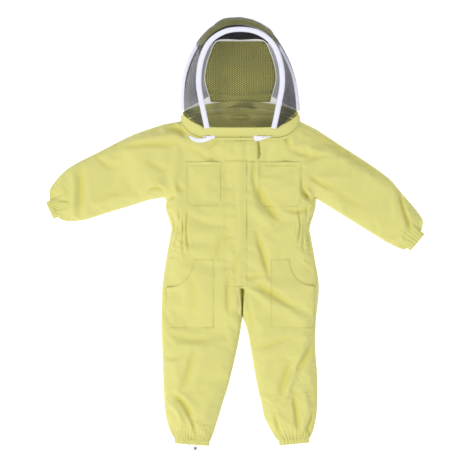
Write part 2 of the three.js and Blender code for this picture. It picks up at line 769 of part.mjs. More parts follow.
// The cotton cap lies just inside the crown veil, from 0.22 to 0.58 of the way to the rear hoop.
const capNet = between(outsideFront, aboveRear, crownBulge, crownFrom + 0.04, 0.96 - crownFrom);
const capAt = (u, v) => capNet(0.22 + 0.36 * u, v).add(point(0, -6, -2.5));
add('crown_cap', sheet(capAt, 2, 5, veilWall), cottonLining);

// The cotton back panel lies on the surface, between the band and the rear veil.
const footShare = 0.12; // of the panel's length, from the band up to the foot of the back arch
const archShare = 0.36; // of the back arch's length, up either side of the panel
function panelFoot(v) {
  const p = veilLoop.getPoint(0.5 + 0.09 * (0.5 - v) * 2);
  return p.add(point(0, 4, 0)).setZ(3.4);
}
function panelSide(u, v) {
  const a = backArch.getPointAt(archShare * u);
  const b = backArch.getPointAt(1 - archShare * u);
  return a.lerp(b, v).setZ(2.2 + 1.2 * (1 - u));
}
function backPanelAt(u, v) {
  if (u < footShare) return panelFoot(v).lerp(panelSide(0, v), u / footShare);
  return panelSide((u - footShare) / (1 - footShare), v);
}
add('hood_back_panel', sheet(backPanelAt, 8, 4, wall - 0.5), cotton);

// ---------- inside of the back neck ----------

const facingLow = wall + touch;
const facingHalf = 112;
const facing = (x0, x1) =>
  box(x0, x1, zipLevel - 26, zipLevel + 74, facingLow, facingLow + facingWall);
add('right_neck_facing', facing(-facingHalf, -touch), cottonLining);
add('left_neck_facing', facing(touch, facingHalf), cottonLining);

// The hanger loop: a strap that arches off the facing, sewn down at both ends.
const loopHalf = 30;
const loopRise = 9;
const loopWidth = 8;
const loopWall = 1.4;
const loopMiddle = zipLevel + 66;
const loopLow = facingLow + facingWall + touch + loopWall / 2;
const loopAt = (u, v) => point(
  -loopHalf + 2 * loopHalf * u,
  loopMiddle + loopWidth * (v - 0.5),
  loopLow + loopRise * Math.sin(Math.PI * u),
);
add('hanger_loop', sheet(loopAt, 8, 1, loopWall), cotton);

// ---------- ankle drawcord ----------

// The cord leaves the back of the right ankle's hem, and ends in a knot.
const cordExit = frames.right_leg.at(limbs.right_leg.length + touch, 8);
const cordRoute = [
  [0, 0, 2.2],
  [-0.3, 3.5, 2.6],
  [4, 8, 5.2],
  [10, 11, 6.4],
  [16, 12.6, 6.4],
  [22, 14.2, 6.4],
  [28, 15.8, 6.4],
  [34, 17.4, 6.4],
];
const cordRun = cordRoute.map(([x, y, z]) => point(cordExit.x + x, cordExit.y - y, z));
const cordCurve = new THREE.CatmullRomCurve3(cordRun, false, 'centripetal');
const cordSection = new THREE.Shape();
cordSection.absarc(0, 0, cordRadius, 0, 2 * Math.PI, false);
const cordSteps = { steps: 14, extrudePath: cordCurve, curveSegments: 4 };
add('ankle_cord', new THREE.ExtrudeGeometry(cordSection, cordSteps), elastic);

const cordEnd = cordCurve.getPointAt(1).addScaledVector(cordCurve.getTangentAt(1), knotRadius + touch);
add('cord_knot', new THREE.SphereGeometry(knotRadius, 8, 6).translate(...cordEnd.toArray()), elastic);

// The toggle lies across the cord's straight stretch, with its spring button on top.
const toggleMiddle = cordRun[5].clone().lerp(cordRun[4], 0.5);
const toggleAxis = cordRun[6].clone().sub(cordRun[5]).normalize();
const toggleTurn = new THREE.Quaternion().setFromUnitVectors(point(0, 1, 0), toggleAxis);
const placed = (geometry) => geometry.applyQuaternion(toggleTurn).translate(...toggleMiddle.toArray());
const halfToggle = toggleLength / 2;
const bore = cordRadius + 0.6;
const toggleProfile = [
  [bore, -halfToggle],
  [toggleRadius - 1.4, -halfToggle],
  [toggleRadius, -halfToggle + 1.5],
  [toggleRadius, halfToggle - 1.5],
  [toggleRadius - 1.4, halfToggle],
  [bore, halfToggle],
  [bore, -halfToggle],
].map(([x, y]) => new THREE.Vector2(x, y));
const upright = (radius, low, high) => new THREE.CylinderGeometry(radius, radius, high - low, 10)
  .rotateX(Math.PI / 2).translate(0, 0, (low + high) / 2);
const wellFloor = bore + 0.4;
const buttonTop = toggleRadius + 2;
const well = placed(upright(buttonRadius + 0.4, wellFloor, buttonTop));
const toggle = solid(placed(new THREE.LatheGeometry(toggleProfile, 12))).subtract(solid(well));
add('cord_toggle', largest(toggle), togglePlastic);
const button = upright(buttonRadius, wellFloor + buttonTravel + touch, buttonTop);
add('toggle_button', placed(button), togglePlastic);

export default group;
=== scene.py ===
# A child's beekeeping coverall with a zip-on hooped veil, laid out on its back and seen from above.
# Metres, in the CAD model's frame: +X is the wearer's left, +Y runs towards the head, +Z is up from the chest.
import json
import math

import bmesh
import bpy
import numpy as np
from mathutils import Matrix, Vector, geometry, noise
from mathutils.bvhtree import BVHTree


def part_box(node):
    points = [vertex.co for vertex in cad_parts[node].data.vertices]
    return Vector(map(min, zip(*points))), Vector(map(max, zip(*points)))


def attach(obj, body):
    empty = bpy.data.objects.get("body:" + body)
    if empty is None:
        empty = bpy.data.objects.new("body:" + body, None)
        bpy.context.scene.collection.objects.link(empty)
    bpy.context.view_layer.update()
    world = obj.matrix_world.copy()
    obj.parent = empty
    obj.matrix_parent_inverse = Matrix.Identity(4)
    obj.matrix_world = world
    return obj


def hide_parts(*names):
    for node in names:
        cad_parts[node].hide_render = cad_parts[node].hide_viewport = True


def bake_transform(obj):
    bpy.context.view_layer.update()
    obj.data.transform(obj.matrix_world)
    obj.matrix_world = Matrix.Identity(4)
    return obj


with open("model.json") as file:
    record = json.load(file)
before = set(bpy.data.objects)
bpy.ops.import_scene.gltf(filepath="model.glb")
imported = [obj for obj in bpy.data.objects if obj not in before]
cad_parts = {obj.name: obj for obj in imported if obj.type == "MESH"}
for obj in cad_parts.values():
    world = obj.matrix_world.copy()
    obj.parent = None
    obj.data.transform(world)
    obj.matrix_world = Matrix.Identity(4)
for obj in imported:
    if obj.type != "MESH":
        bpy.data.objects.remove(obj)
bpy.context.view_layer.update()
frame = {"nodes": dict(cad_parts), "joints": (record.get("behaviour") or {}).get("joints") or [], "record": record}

MM = 0.001
JOINTS = {joint["name"]: joint for joint in frame["joints"]}


def add(name, data):
    """Puts an object with this data into the scene."""
    made = bpy.data.objects.new(name, data)
    bpy.context.scene.collection.objects.link(made)
    return made


# ---------- camera and light ----------

VIEW_WIDTH = 1.551
VIEW_CENTRE = (-0.018, 0.0035)
CAMERA_HEIGHT = 16.0
CLOTH_LEVEL = 0.03


def make_camera():
    data = bpy.data.cameras.new("camera")
    data.sensor_width = 36.0
    data.lens = data.sensor_width * (CAMERA_HEIGHT - CLOTH_LEVEL) / VIEW_WIDTH
    data.clip_end = 50.0
    camera = add("camera", data)
    camera.location = (*VIEW_CENTRE, CAMERA_HEIGHT)
    bpy.context.scene.camera = camera


def make_lights():
    world = bpy.data.worlds.new("studio")
    world.use_nodes = True
    background = world.node_tree.nodes["Background"]
    background.inputs["Color"].default_value = (0.93, 0.95, 1.0, 1.0)
    background.inputs["Strength"].default_value = 0.5
    bpy.context.scene.world = world
    lamps = [
        ("key", (-5.2, -4.8, 6.8), 4.5, 728.0, (1.0, 0.99, 0.96)),
        ("fill", (5.0, 4.0, 7.0), 4.0, 250.0, (0.95, 0.97, 1.0)),
    ]
    for name, place, size, power, tint in lamps:
        data = bpy.data.lights.new(name, "AREA")
        data.size = size
        data.energy = power
        data.color = tint
        lamp = add(name, data)
        lamp.location = place
        lamp.rotation_euler = (-Vector(place)).to_track_quat("-Z", "Y").to_euler()
    bpy.context.scene.view_settings.view_transform = "Standard"


make_camera()
make_lights()


# ---------- shader maths ----------


class Value:
    """A shader socket that Python's operators work on."""

    def __init__(self, tree, socket):
        self.tree = tree
        self.socket = socket

    def math(self, operation, *others):
        sockets = dict(enumerate((self, *others)))
        return self.tree.node("ShaderNodeMath", {"operation": operation}, sockets)

    def __add__(self, other):
        return self.math("ADD", other)

    def __sub__(self, other):
        return self.math("SUBTRACT", other)

    def __mul__(self, other):
        return self.math("MULTIPLY", other)

    def sine(self):
        return self.math("SINE")

    def clamp(self):
        return self.math("MINIMUM", 1.0).math("MAXIMUM", 0.0)


class Tree:
    """A material's node tree, with one method that makes every node."""

    def __init__(self, name, roughness, **shader):
        self.material = bpy.data.materials.new(name)
        self.material.use_nodes = True
        self.nodes = self.material.node_tree.nodes
        self.links = self.material.node_tree.links
        self.shader = self.nodes["Principled BSDF"]
        self.shader.inputs["Roughness"].default_value = roughness
        for socket, value in shader.items():
            self.shader.inputs[socket.replace("_", " ")].default_value = value

    def node(self, kind, settings=None, sockets=None, output=0):
        """Makes a node and returns one of its outputs, or all of them when output is None."""
        made = self.nodes.new(kind)
        for name, value in (settings or {}).items():
            setattr(made, name, value)
        for name, value in (sockets or {}).items():
            target = made.inputs[name]
            if isinstance(value, Value):
                self.links.new(value.socket, target)
            else:
                target.default_value = value
        if output is None:
            return [Value(self, socket) for socket in made.outputs]
        return Value(self, made.outputs[output])

    def feed(self, name, value):
        self.links.new(value.socket, self.shader.inputs[name])

    def place(self):
        return self.node("ShaderNodeTexCoord", output="Object")

    def cloth(self):
        return self.node("ShaderNodeUVMap", {"uv_map": "cloth"})

    def parts(self, vector):
        return self.node("ShaderNodeSeparateXYZ", None, {0: vector}, output=None)

    def noise(self, vector, scale, detail=2.0, roughness=0.5):
        sockets = {"Vector": vector, "Scale": scale, "Detail": detail, "Roughness": roughness}
        return self.node("ShaderNodeTexNoise", None, sockets)

    def mix(self, factor, first, second):
        sockets = {0: factor, 6: first, 7: second}
        return self.node("ShaderNodeMix", {"data_type": "RGBA"}, sockets, output=2)

    def bump(self, height, strength, distance):
        sockets = {"Height": height, "Strength": strength, "Distance": distance}
        self.feed("Normal", self.node("ShaderNodeBump", None, sockets))


def colour(red, green, blue):
    """A shader colour from the red, green and blue that a screen shows."""
    linear = [c / 12.92 if c <= 0.04045 else ((c + 0.055) / 1.055) ** 2.4 for c in (red, green, blue)]
    return (*linear, 1.0)


# Colour of the darker line along sewn edges: partly painted shade, partly soil.
SEAM_SHADE = colour(0.6, 0.57, 0.3)


def twill(name, main, shade, deep=None):
    """Cotton twill: diagonal ribs over a soft mottle, with painted shade in its creases (a deeper, yellower
    colour) and a darker line along sewn edges that is partly painted shade and partly soil.
    """
    tree = Tree(name, 0.88, Sheen_Weight=0.25, Sheen_Roughness=0.6, Specular_IOR_Level=0.2)
    across, along, _ = tree.parts(tree.cloth())
    rib = ((across + along) * (2 * math.pi / (1.5 * MM))).sine() * 0.5 + 0.5
    thread = ((across - along) * (2 * math.pi / (0.9 * MM))).sine() * 0.5 + 0.5
    mottle = tree.noise(tree.cloth(), 14.0, 4.0, 0.6)
    slub = tree.noise(tree.cloth(), 420.0, 2.0, 0.6)
    tone = (mottle * 0.62 + slub * 0.3 + rib * 0.1).clamp()
    # The crease attribute paints shade into fold valleys: the colour moves towards the darker crease colour there.
    crease = tree.node("ShaderNodeAttribute", {"attribute_name": "crease"}, output=2)
    # The seam attribute paints a darker line along sewn edges, partly painted shade and partly soil.
    seam = tree.node("ShaderNodeAttribute", {"attribute_name": "seam"}, output=2)
    cloth = tree.mix(crease.clamp(), tree.mix(tone, shade, main), deep or shade)
    tree.feed("Base Color", tree.mix(seam.clamp(), cloth, SEAM_SHADE))
    tree.feed("Roughness", mottle * 0.12 + 0.82)
    tree.bump(rib * 0.55 + thread * 0.2 + slub * 0.5, 0.35, 0.3 * MM)
    return tree.material


def netting(name, thread, worn, cover, pitch=1.7 * MM):
    """Open mesh: crossing threads over nothing, with a cover that is the share of it that is thread."""
    tree = Tree(name, 0.7, Specular_IOR_Level=0.25)
    across, along, _ = tree.parts(tree.cloth())
    turn = 2 * math.pi / pitch
    weft = (across * turn).sine() * (along * turn).sine()
    ripple = tree.noise(tree.cloth(), 18.0, 3.0, 0.55)
    tree.feed("Alpha", (weft * 0.14 + (ripple - 0.5) * 0.3 + cover).clamp())
    tree.feed("Base Color", tree.mix(ripple, thread, worn))
    return tree.material


def woven_tape(name, main, shade, pitch):
    """Narrow woven tape: fine ribs across and a faint chevron along it."""
    tree = Tree(name, 0.75, Sheen_Weight=0.15, Specular_IOR_Level=0.3)
    across, along, _ = tree.parts(tree.place())
    turn = 2 * math.pi / pitch
    rib = ((across + along) * turn).sine() * ((across - along) * turn).sine() * 0.5 + 0.5
    mottle = tree.noise(tree.place(), 60.0, 3.0, 0.6)
    tree.feed("Base Color", tree.mix((mottle * 0.8 + rib * 0.2).clamp(), shade, main))
    tree.feed("Roughness", mottle * 0.15 + 0.68)
    tree.bump(rib * 0.7 + mottle * 0.4, 0.4, 0.4 * MM)
    return tree.material


def moulded(name, main, shade, roughness=0.45):
    """Moulded plastic: an even colour with a faint flow and a fine grain."""
    tree = Tree(name, roughness, Specular_IOR_Level=0.5)
    flow = tree.noise(tree.place(), 120.0, 3.0, 0.5)
    grain = tree.noise(tree.place(), 2400.0, 2.0, 0.5)
    tree.feed("Base Color", tree.mix(flow, shade, main))
    tree.feed("Roughness", grain * 0.14 + (roughness - 0.07))
    tree.bump(grain, 0.15, 0.1 * MM)
    return tree.material


def metal(name, main):
    """Bright drawn wire: lengthwise polish marks with a little tarnish."""
    tree = Tree(name, 0.3, Metallic=1.0)
    tarnish = tree.noise(tree.place(), 90.0, 4.0, 0.6)
    tree.feed("Base Color", tree.mix(tarnish, colour(0.5, 0.5, 0.5), main))
    tree.feed("Roughness", tarnish * 0.3 + 0.2)
    return tree.material


def elastic_band(name):
    """Knitted elastic: raised cords, coloured lighter along their tops."""
    tree = Tree(name, 0.8, Sheen_Weight=0.1)
    x, y, z = tree.parts(tree.place())
    cords = ((x + y + z) * (2 * math.pi / (1.6 * MM))).sine() * 0.5 + 0.5
    fuzz = tree.noise(tree.place(), 700.0, 2.0, 0.6)
    shade = (cords * 0.6 + fuzz * 0.4).clamp()
    tree.feed("Base Color", tree.mix(shade, colour(0.8, 0.8, 0.78), colour(0.95, 0.95, 0.93)))
    tree.bump(cords + fuzz * 0.3, 0.4, 0.3 * MM)
    return tree.material


def hook_and_loop(name):
    """Fuzzy loop pile."""
    tree = Tree(name, 0.95, Sheen_Weight=0.4)
    pile = tree.noise(tree.place(), 1500.0, 4.0, 0.7)
    tree.feed("Base Color", tree.mix(pile, colour(0.72, 0.71, 0.45), colour(0.88, 0.87, 0.62)))
    tree.bump(pile, 0.9, 0.8 * MM)
    return tree.material


def floor_paper(name):
    """Matt white background paper."""
    tree = Tree(name, 0.9, Specular_IOR_Level=0.1, Emission_Color=(1, 1, 1, 1), Emission_Strength=0.5)
    grain = tree.noise(tree.place(), 300.0, 3.0, 0.6)
    tree.feed("Base Color", tree.mix(grain, colour(0.975, 0.975, 0.98), colour(0.99, 0.99, 0.995)))
    return tree.material


DYED = (colour(0.828, 0.812, 0.5), colour(0.8, 0.78, 0.45))
# The third colour is the painted crease shade.
COTTON = twill("cotton twill", *DYED, colour(0.78, 0.75, 0.34))
LINING = twill("cotton lining", colour(0.92, 0.9, 0.53), colour(0.86, 0.84, 0.46))
THREAD = twill("sewing thread", colour(0.82, 0.8, 0.46), colour(0.76, 0.74, 0.4))
# The panel's ground is painted darker, as shade between the pads, and the pads are painted lighter, as highlight
# on their tops.
SHADED_VENT_PANEL = twill("vent panel", colour(0.70, 0.68, 0.33), colour(0.62, 0.6, 0.27))
LIT_VENT_PADS = twill("vent panel pads", colour(0.97, 0.96, 0.60), colour(0.90, 0.89, 0.50))
VEIL = netting("veil mesh", colour(0.10, 0.10, 0.12), colour(0.22, 0.22, 0.25), 0.37)
# The side veils are denser than the face veil, the left one most: the extra cover is painted shade for the shadow
# inside the hood.
SIDE_VEIL = netting("side veil mesh", colour(0.13, 0.13, 0.15), colour(0.24, 0.24, 0.27), 0.57)
SHADED_SIDE_VEIL = netting("shaded side veil mesh", colour(0.10, 0.10, 0.115), colour(0.24, 0.24, 0.27), 0.78)
# The crown veil's extra cover stands partly for a second layer of mesh and partly for painted shade over the
# crown.
CROWN_VEIL = netting("crown veil mesh", colour(0.13, 0.13, 0.11), colour(0.26, 0.26, 0.22), 0.58)
# A near-black, fully opaque sheet: painted shadow in the hollow under the crown.
CROWN_SHADE = netting("crown shadow mesh", colour(0.05, 0.05, 0.03), colour(0.09, 0.09, 0.06), 1.3)
HOOP_TAPE = woven_tape("hoop tape", colour(0.91, 0.905, 0.95), colour(0.84, 0.835, 0.895), 2.2 * MM)
ZIP_TAPE = woven_tape("zip tape", colour(0.95, 0.945, 0.97), colour(0.88, 0.875, 0.92), 1.2 * MM)
DYED_TAPE = woven_tape("dyed zip tape", *DYED, 1.2 * MM)
NYLON = moulded("nylon", colour(0.95, 0.94, 0.98), colour(0.88, 0.87, 0.92))
DYED_NYLON = moulded("dyed nylon", *DYED, 0.6)
TOGGLE = moulded("toggle plastic", colour(0.68, 0.67, 0.72), colour(0.58, 0.57, 0.62), 0.4)
STEEL = metal("spring wire", colour(0.74, 0.75, 0.76))
ELASTIC = elastic_band("knitted elastic")
HOOK = hook_and_loop("hook and loop")


def make_floor():
    mesh = bpy.data.meshes.new("floor")
    half = 6.0
    corners = [(-half, -half, 0), (half, -half, 0), (half, half, 0), (-half, half, 0)]
    mesh.from_pydata(corners, [], [(0, 1, 2, 3)])
    mesh.materials.append(floor_paper("floor"))
    add("floor", mesh)


make_floor()


# ---------- curves ----------


def catmull(points, closed=False, per_span=12, power=0.5):
    """Points along a Catmull-Rom curve: power 0.5 is centripetal, 0 is uniform."""
    pts = np.array(points, float)
    count = len(pts)
    spans = count if closed else count - 1
    if closed:
        padded = np.concatenate([pts[-1:], pts, pts[:2]])
    else:
        padded = np.concatenate([[2 * pts[0] - pts[1]], pts, [2 * pts[-1] - pts[-2]]])
    made = []
    for k in range(spans):
        p0, p1, p2, p3 = padded[k : k + 4]
        steps = [max(np.linalg.norm(b - a), 1e-9) ** power for a, b in ((p0, p1), (p1, p2), (p2, p3))]
        t = np.linspace(0, 1, per_span, endpoint=False)[:, None]
        m1 = steps[1] * ((p1 - p0) / steps[0] - (p2 - p0) / (steps[0] + steps[1])) + (p2 - p1)
        m2 = steps[1] * ((p3 - p2) / steps[2] - (p3 - p1) / (steps[1] + steps[2])) + (p2 - p1)
        a = 2 * (p1 - p2) + m1 + m2
        b = -3 * (p1 - p2) - 2 * m1 - m2
        made.append(a * t**3 + b * t**2 + m1 * t + p1)
    made.append(padded[1:2] if closed else pts[-1:])
    return np.concatenate(made)


class Path:
    """A smooth curve that is walked by share of its length."""

    def __init__(self, points, closed=False, smooth=True):
        self.points = catmull(points, closed, 24) if smooth else np.array(points, float)
        steps = np.linalg.norm(np.diff(self.points, axis=0), axis=1)
        self.run = np.concatenate([[0.0], np.cumsum(steps)])
        self.length = float(self.run[-1])
        self.closed = closed

    def at(self, share):
        share = np.asarray(share, float)
        walked = (share % 1.0 if self.closed else np.clip(share, 0, 1)) * self.length
        return np.stack([np.interp(walked, self.run, column) for column in self.points.T], -1)

    def along(self, share):
        step = 0.002
        ahead = self.at(np.asarray(share) + step)
        behind = self.at(np.asarray(share) - step)
        way = ahead - behind
        return way / np.maximum(np.linalg.norm(way, axis=-1, keepdims=True), 1e-9)

    def spaced(self, pitch):
        return self.at(np.linspace(0, 1, max(2, round(self.length / pitch) + 1)))


def smoothstep(x):
    x = np.clip(x, 0, 1)
    return x * x * (3 - 2 * x)


def ripple(points, size, seed=0.0):
    """Smooth noise, about -1 to 1, at each point."""
    shift = Vector((seed, seed * 1.7, seed * 0.3))
    return np.array([noise.noise(Vector(p) / size + shift) for p in points])


def wander(places):
    """Smooth noise, about -1 to 1, at each place."""
    return np.array([noise.noise(Vector(place)) for place in places])


def unit(ways):
    return ways / np.linalg.norm(ways, axis=-1, keepdims=True)


# ---------- mesh helpers ----------


def settled_mesh(piece):
    """A piece's mesh with its modifiers applied."""
    bpy.context.view_layer.update()
    return bpy.data.meshes.new_from_object(piece.evaluated_get(bpy.context.evaluated_depsgraph_get()))


def fit(piece, body=None, replaces=()):
    """Says which CAD nodes a piece replaces and which body it rides."""
    if replaces:
        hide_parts(*replaces)
    if body:
        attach(piece, body)
    return piece


def shade_points(mesh, label, values):
    mesh.attributes.new(label, "FLOAT", "POINT").data.foreach_set("value", np.asarray(values, np.float32))


def new_object(name, vertices, faces, material, uv=None, crease=None):
    mesh = bpy.data.meshes.new(name)
    mesh.from_pydata([tuple(v) for v in vertices], [], [tuple(int(i) for i in f) for f in faces])
    mesh.materials.append(material)
    mesh.polygons.foreach_set("use_smooth", [True] * len(mesh.polygons))
    if crease is not None:
        shade_points(mesh, "crease", crease)
    layer = mesh.uv_layers.new(name="cloth")
    uv = np.asarray(uv if uv is not None else np.asarray(vertices)[:, :2], float)
    corners = np.zeros(len(mesh.loops), int)
    mesh.loops.foreach_get("vertex_index", corners)
    layer.data.foreach_set("uv", uv[corners].ravel())
    mesh.validate()
    return add(name, mesh)


def thicken(piece, thickness, offset=-1.0):
    wall = piece.modifiers.new("wall", "SOLIDIFY")
    wall.thickness = thickness
    wall.offset = offset
    wall.use_even_offset = False
    mesh = settled_mesh(piece)
    piece.modifiers.clear()
    piece.data = mesh
    piece.data.set_sharp_from_angle(angle=math.radians(55))
    return piece


def grid_sheet(name, at, rows, columns, material, uv_size, around=False):
    """A sheet through at(u, v) for u and v in arrays of shares."""
    wide = columns if around else columns + 1
    u, v = np.meshgrid(np.arange(rows + 1) / rows, np.arange(wide) / columns, indexing="ij")
    points = at(u.ravel(), v.ravel())
    faces = []
    for i in range(rows):
        for j in range(columns):
            right = (j + 1) % wide
            faces.append((i * wide + j, (i + 1) * wide + j, (i + 1) * wide + right, i * wide + right))
    uv = np.stack([u.ravel() * uv_size[0], v.ravel() * uv_size[1]], -1)
    return new_object(name, points, faces, material, uv)


def face_up(piece, centre=None):
    """Turns the faces to look up, or away from a centre."""
    mesh = bmesh.new()
    mesh.from_mesh(piece.data)
    bmesh.ops.recalc_face_normals(mesh, faces=mesh.faces[:])
    score = 0.0
    for face in mesh.faces:
        away = Vector((0, 0, 1)) if centre is None else face.calc_center_median() - Vector(centre)
        score += face.normal.dot(away) * face.calc_area()
    if score < 0:
        bmesh.ops.reverse_faces(mesh, faces=mesh.faces[:])
    mesh.to_mesh(piece.data)
    mesh.free()
    return piece


def outward(piece):
    """Closes a piece's doubled points and turns a closed shell's faces outwards."""
    mesh = bmesh.new()
    mesh.from_mesh(piece.data)
    bmesh.ops.remove_doubles(mesh, verts=mesh.verts[:], dist=1e-6)
    bmesh.ops.recalc_face_normals(mesh, faces=mesh.faces[:])
    mesh.to_mesh(piece.data)
    mesh.free()
    return piece


def sweep(name, path_points, sides, ups, section, material):
    """A section (width, height) carried along frames; its ends are capped."""
    count = len(path_points)
    ring = len(section)
    points = []
    for at, side, up in zip(path_points, sides, ups):
        points += [at + side * width + up * height for width, height in section]
    faces = [tuple(reversed(range(ring))), tuple((count - 1) * ring + k for k in range(ring))]
    for a in range(0, (count - 1) * ring, ring):
        for k in range(ring):
            n = (k + 1) % ring
            faces.append((a + k, a + n, a + ring + n, a + ring + k))
    along = np.repeat(np.arange(count), ring) * 4 * MM
    around = np.tile(np.arange(ring), count) * 2 * MM
    return outward(new_object(name, points, faces, material, np.stack([along, around], -1)))


def lens(width, height, points=16):
    """A flat oval section that thins towards its edges."""
    turn = np.linspace(0, 2 * math.pi, points, endpoint=False)
    rises = [math.copysign(abs(math.sin(a)) ** 0.8, math.sin(a)) for a in turn]
    return [(width / 2 * math.cos(a), height / 2 * rise) for a, rise in zip(turn, rises)]


# ---------- what repeats: Geometry Nodes ----------


def growing_tree(name, inputs, spread, shape, turned=True):
    """A tree that puts one shape at every point that the spread node gives.

    Spread and shape each say a node's kind, its settings, and which of the tree's inputs feed its sockets.
    """
    tree = bpy.data.node_groups.new(name, "GeometryNodeTree")
    face = tree.interface
    face.new_socket("Geometry", in_out="INPUT", socket_type="NodeSocketGeometry")
    for label, value in inputs.items():
        kind = "NodeSocketVector" if isinstance(value, tuple) else "NodeSocketFloat"
        face.new_socket(label, in_out="INPUT", socket_type=kind).default_value = value
    face.new_socket("Material", in_out="INPUT", socket_type="NodeSocketMaterial")
    face.new_socket("Geometry", in_out="OUTPUT", socket_type="NodeSocketGeometry")
    given, result = (tree.nodes.new(kind) for kind in ("NodeGroupInput", "NodeGroupOutput"))
    last = ("InstanceOnPoints", "RealizeInstances", "SetMaterial")
    put, real, finish = (tree.nodes.new("GeometryNode" + kind) for kind in last)
    link = tree.links.new
    made = []
    for kind, settings, fed in (spread, shape):
        node = tree.nodes.new("GeometryNode" + kind)
        for setting, value in settings.items():
            if setting in node.inputs:
                node.inputs[setting].default_value = value
            else:
                setattr(node, setting, value)
        for socket, label in fed.items():
            link(given.outputs[label], node.inputs[socket])
        made.append(node)
    link(made[0].outputs["Points"], put.inputs["Points"])
    link(made[1].outputs["Mesh"], put.inputs["Instance"])
    if turned:
        link(made[0].outputs["Rotation"], put.inputs["Rotation"])
    link(put.outputs["Instances"], real.inputs["Geometry"])
    link(real.outputs["Geometry"], finish.inputs["Geometry"])
    link(given.outputs["Material"], finish.inputs["Material"])
    link(finish.outputs["Geometry"], result.inputs["Geometry"])
    return tree


ALONG = ("CurveToPoints", {"mode": "LENGTH"}, {"Curve": "Geometry", "Length": "Pitch"})
STITCHES = growing_tree(
    "stitches",
    {"Pitch": 3.2 * MM, "Length": 2.4 * MM, "Thickness": 0.45 * MM},
    ALONG,
    ("MeshCylinder", {"Vertices": 6}, {"Radius": "Thickness", "Depth": "Length"}),
)
TEETH = growing_tree(
    "zip teeth",
    {"Pitch": 1.6 * MM, "Size": (1.9 * MM, 2.6 * MM, 1.0 * MM)},
    ALONG,
    ("MeshCube", {}, {"Size": "Size"}),
)
PADS = growing_tree(
    "vent pads",
    {"Base": 2.5 * MM, "Top": 1.5 * MM, "Rise": 1.1 * MM},
    ("MeshToPoints", {}, {"Mesh": "Geometry"}),
    ("MeshCone", {"Vertices": 6}, {"Radius Bottom": "Base", "Radius Top": "Top", "Depth": "Rise"}),
    turned=False,
)


def grown(host, tree, name, material, **values):
    """Runs a tree on a host object and returns its result as a plain mesh."""
    work = host.modifiers.new("grow", "NODES")
    work.node_group = tree
    for item in tree.interface.items_tree:
        if item.item_type == "SOCKET" and item.in_out == "INPUT":
            if item.name == "Material":
                work[item.identifier] = material
            elif item.name in values:
                work[item.identifier] = values[item.name]
    mesh = settled_mesh(host)
    mesh.name = name
    made = add(name, mesh)
    bpy.data.objects.remove(host)
    return made


def lines_object(name, runs):
    """A curve object with one straight-sided run for each row of points."""
    data = bpy.data.curves.new(name, "CURVE")
    data.dimensions = "3D"
    for run in runs:
        run = np.asarray(run, float)
        spline = data.splines.new("POLY")
        spline.points.add(len(run) - 1)
        spline.points.foreach_set("co", np.concatenate([run, np.ones((len(run), 1))], 1).ravel())
    return add(name, data)


def stitched(name, runs, pitch=3.2 * MM, length=2.3 * MM, thickness=0.26 * MM, thread=THREAD):
    host = lines_object(name + "_lines", runs)
    return grown(host, STITCHES, name, thread, Pitch=pitch, Length=length, Thickness=thickness)


# ---------- the garment's plan ----------

HEM = 16 * MM
COARSE = 6.5 * MM
FINE = 2.4 * MM
NECK_HALF = 0.200
SHOULDER = 0.378
BACK_NECK = 0.424
ARMPIT = 0.122
CHEST_HALF = 0.247
WAIST = 0.020
WAIST_HALF = 0.229
HIP = -0.170
HIP_HALF = 0.259
CROTCH = Vector((0.007, -0.264))
SLOT_HALF = 8 * MM
SLOT_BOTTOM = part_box("main_zip_stop")[0].y - 4 * MM
ZIP_LEVEL = (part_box("right_hood_slider")[0].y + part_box("right_hood_slider")[1].y) / 2
NECK_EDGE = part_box("neck_zip_tape")[0].y
CLOTH_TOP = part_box("left_front_body")[1].z

# Each limb's rails are [share of its length, distance from its axis in millimetres].
LIMBS = {
    "right_sleeve": {
        "length": 0.360, "angle": 204.9, "end": 30, "side": -1, "loft": 27, "pleats": 7,
        "upper": [[0.02, 112], [0.35, 108], [0.68, 102], [0.88, 73], [0.93, 54]],
        "lower": [[0.14, 105], [0.3, 98], [0.6, 83], [0.75, 76], [0.885, 57], [0.93, 44]],
    },
    "left_sleeve": {
        "length": 0.332, "angle": -39.6, "end": 36, "side": 1, "loft": 26, "pleats": 7,
        "upper": [[-0.19, 86], [0.1, 97], [0.37, 103], [0.57, 92], [0.78, 80], [0.9, 66]],
        "lower": [[0.12, 94], [0.4, 81], [0.58, 73], [0.77, 64], [0.92, 50]],
    },
    "right_leg": {
        "length": 0.451, "angle": 265.7, "end": 57, "side": -1, "loft": 30, "pleats": 13,
        "upper": [[0.12, 131], [0.3, 122], [0.53, 111], [0.76, 97], [0.87, 83], [0.94, 66]],
        "lower": [[0.16, 131], [0.31, 123], [0.55, 105], [0.67, 92], [0.79, 80], [0.91, 67]],
    },
    "left_leg": {
        "length": 0.450, "angle": -84.4, "end": 50, "side": 1, "loft": 30, "pleats": 10,
        "upper": [[0.12, 110], [0.3, 100], [0.53, 97], [0.76, 86], [0.88, 72], [0.94, 60]],
        "lower": [[0.13, 118], [0.25, 113], [0.55, 103], [0.67, 95], [0.79, 89], [0.91, 66]],
    },
}


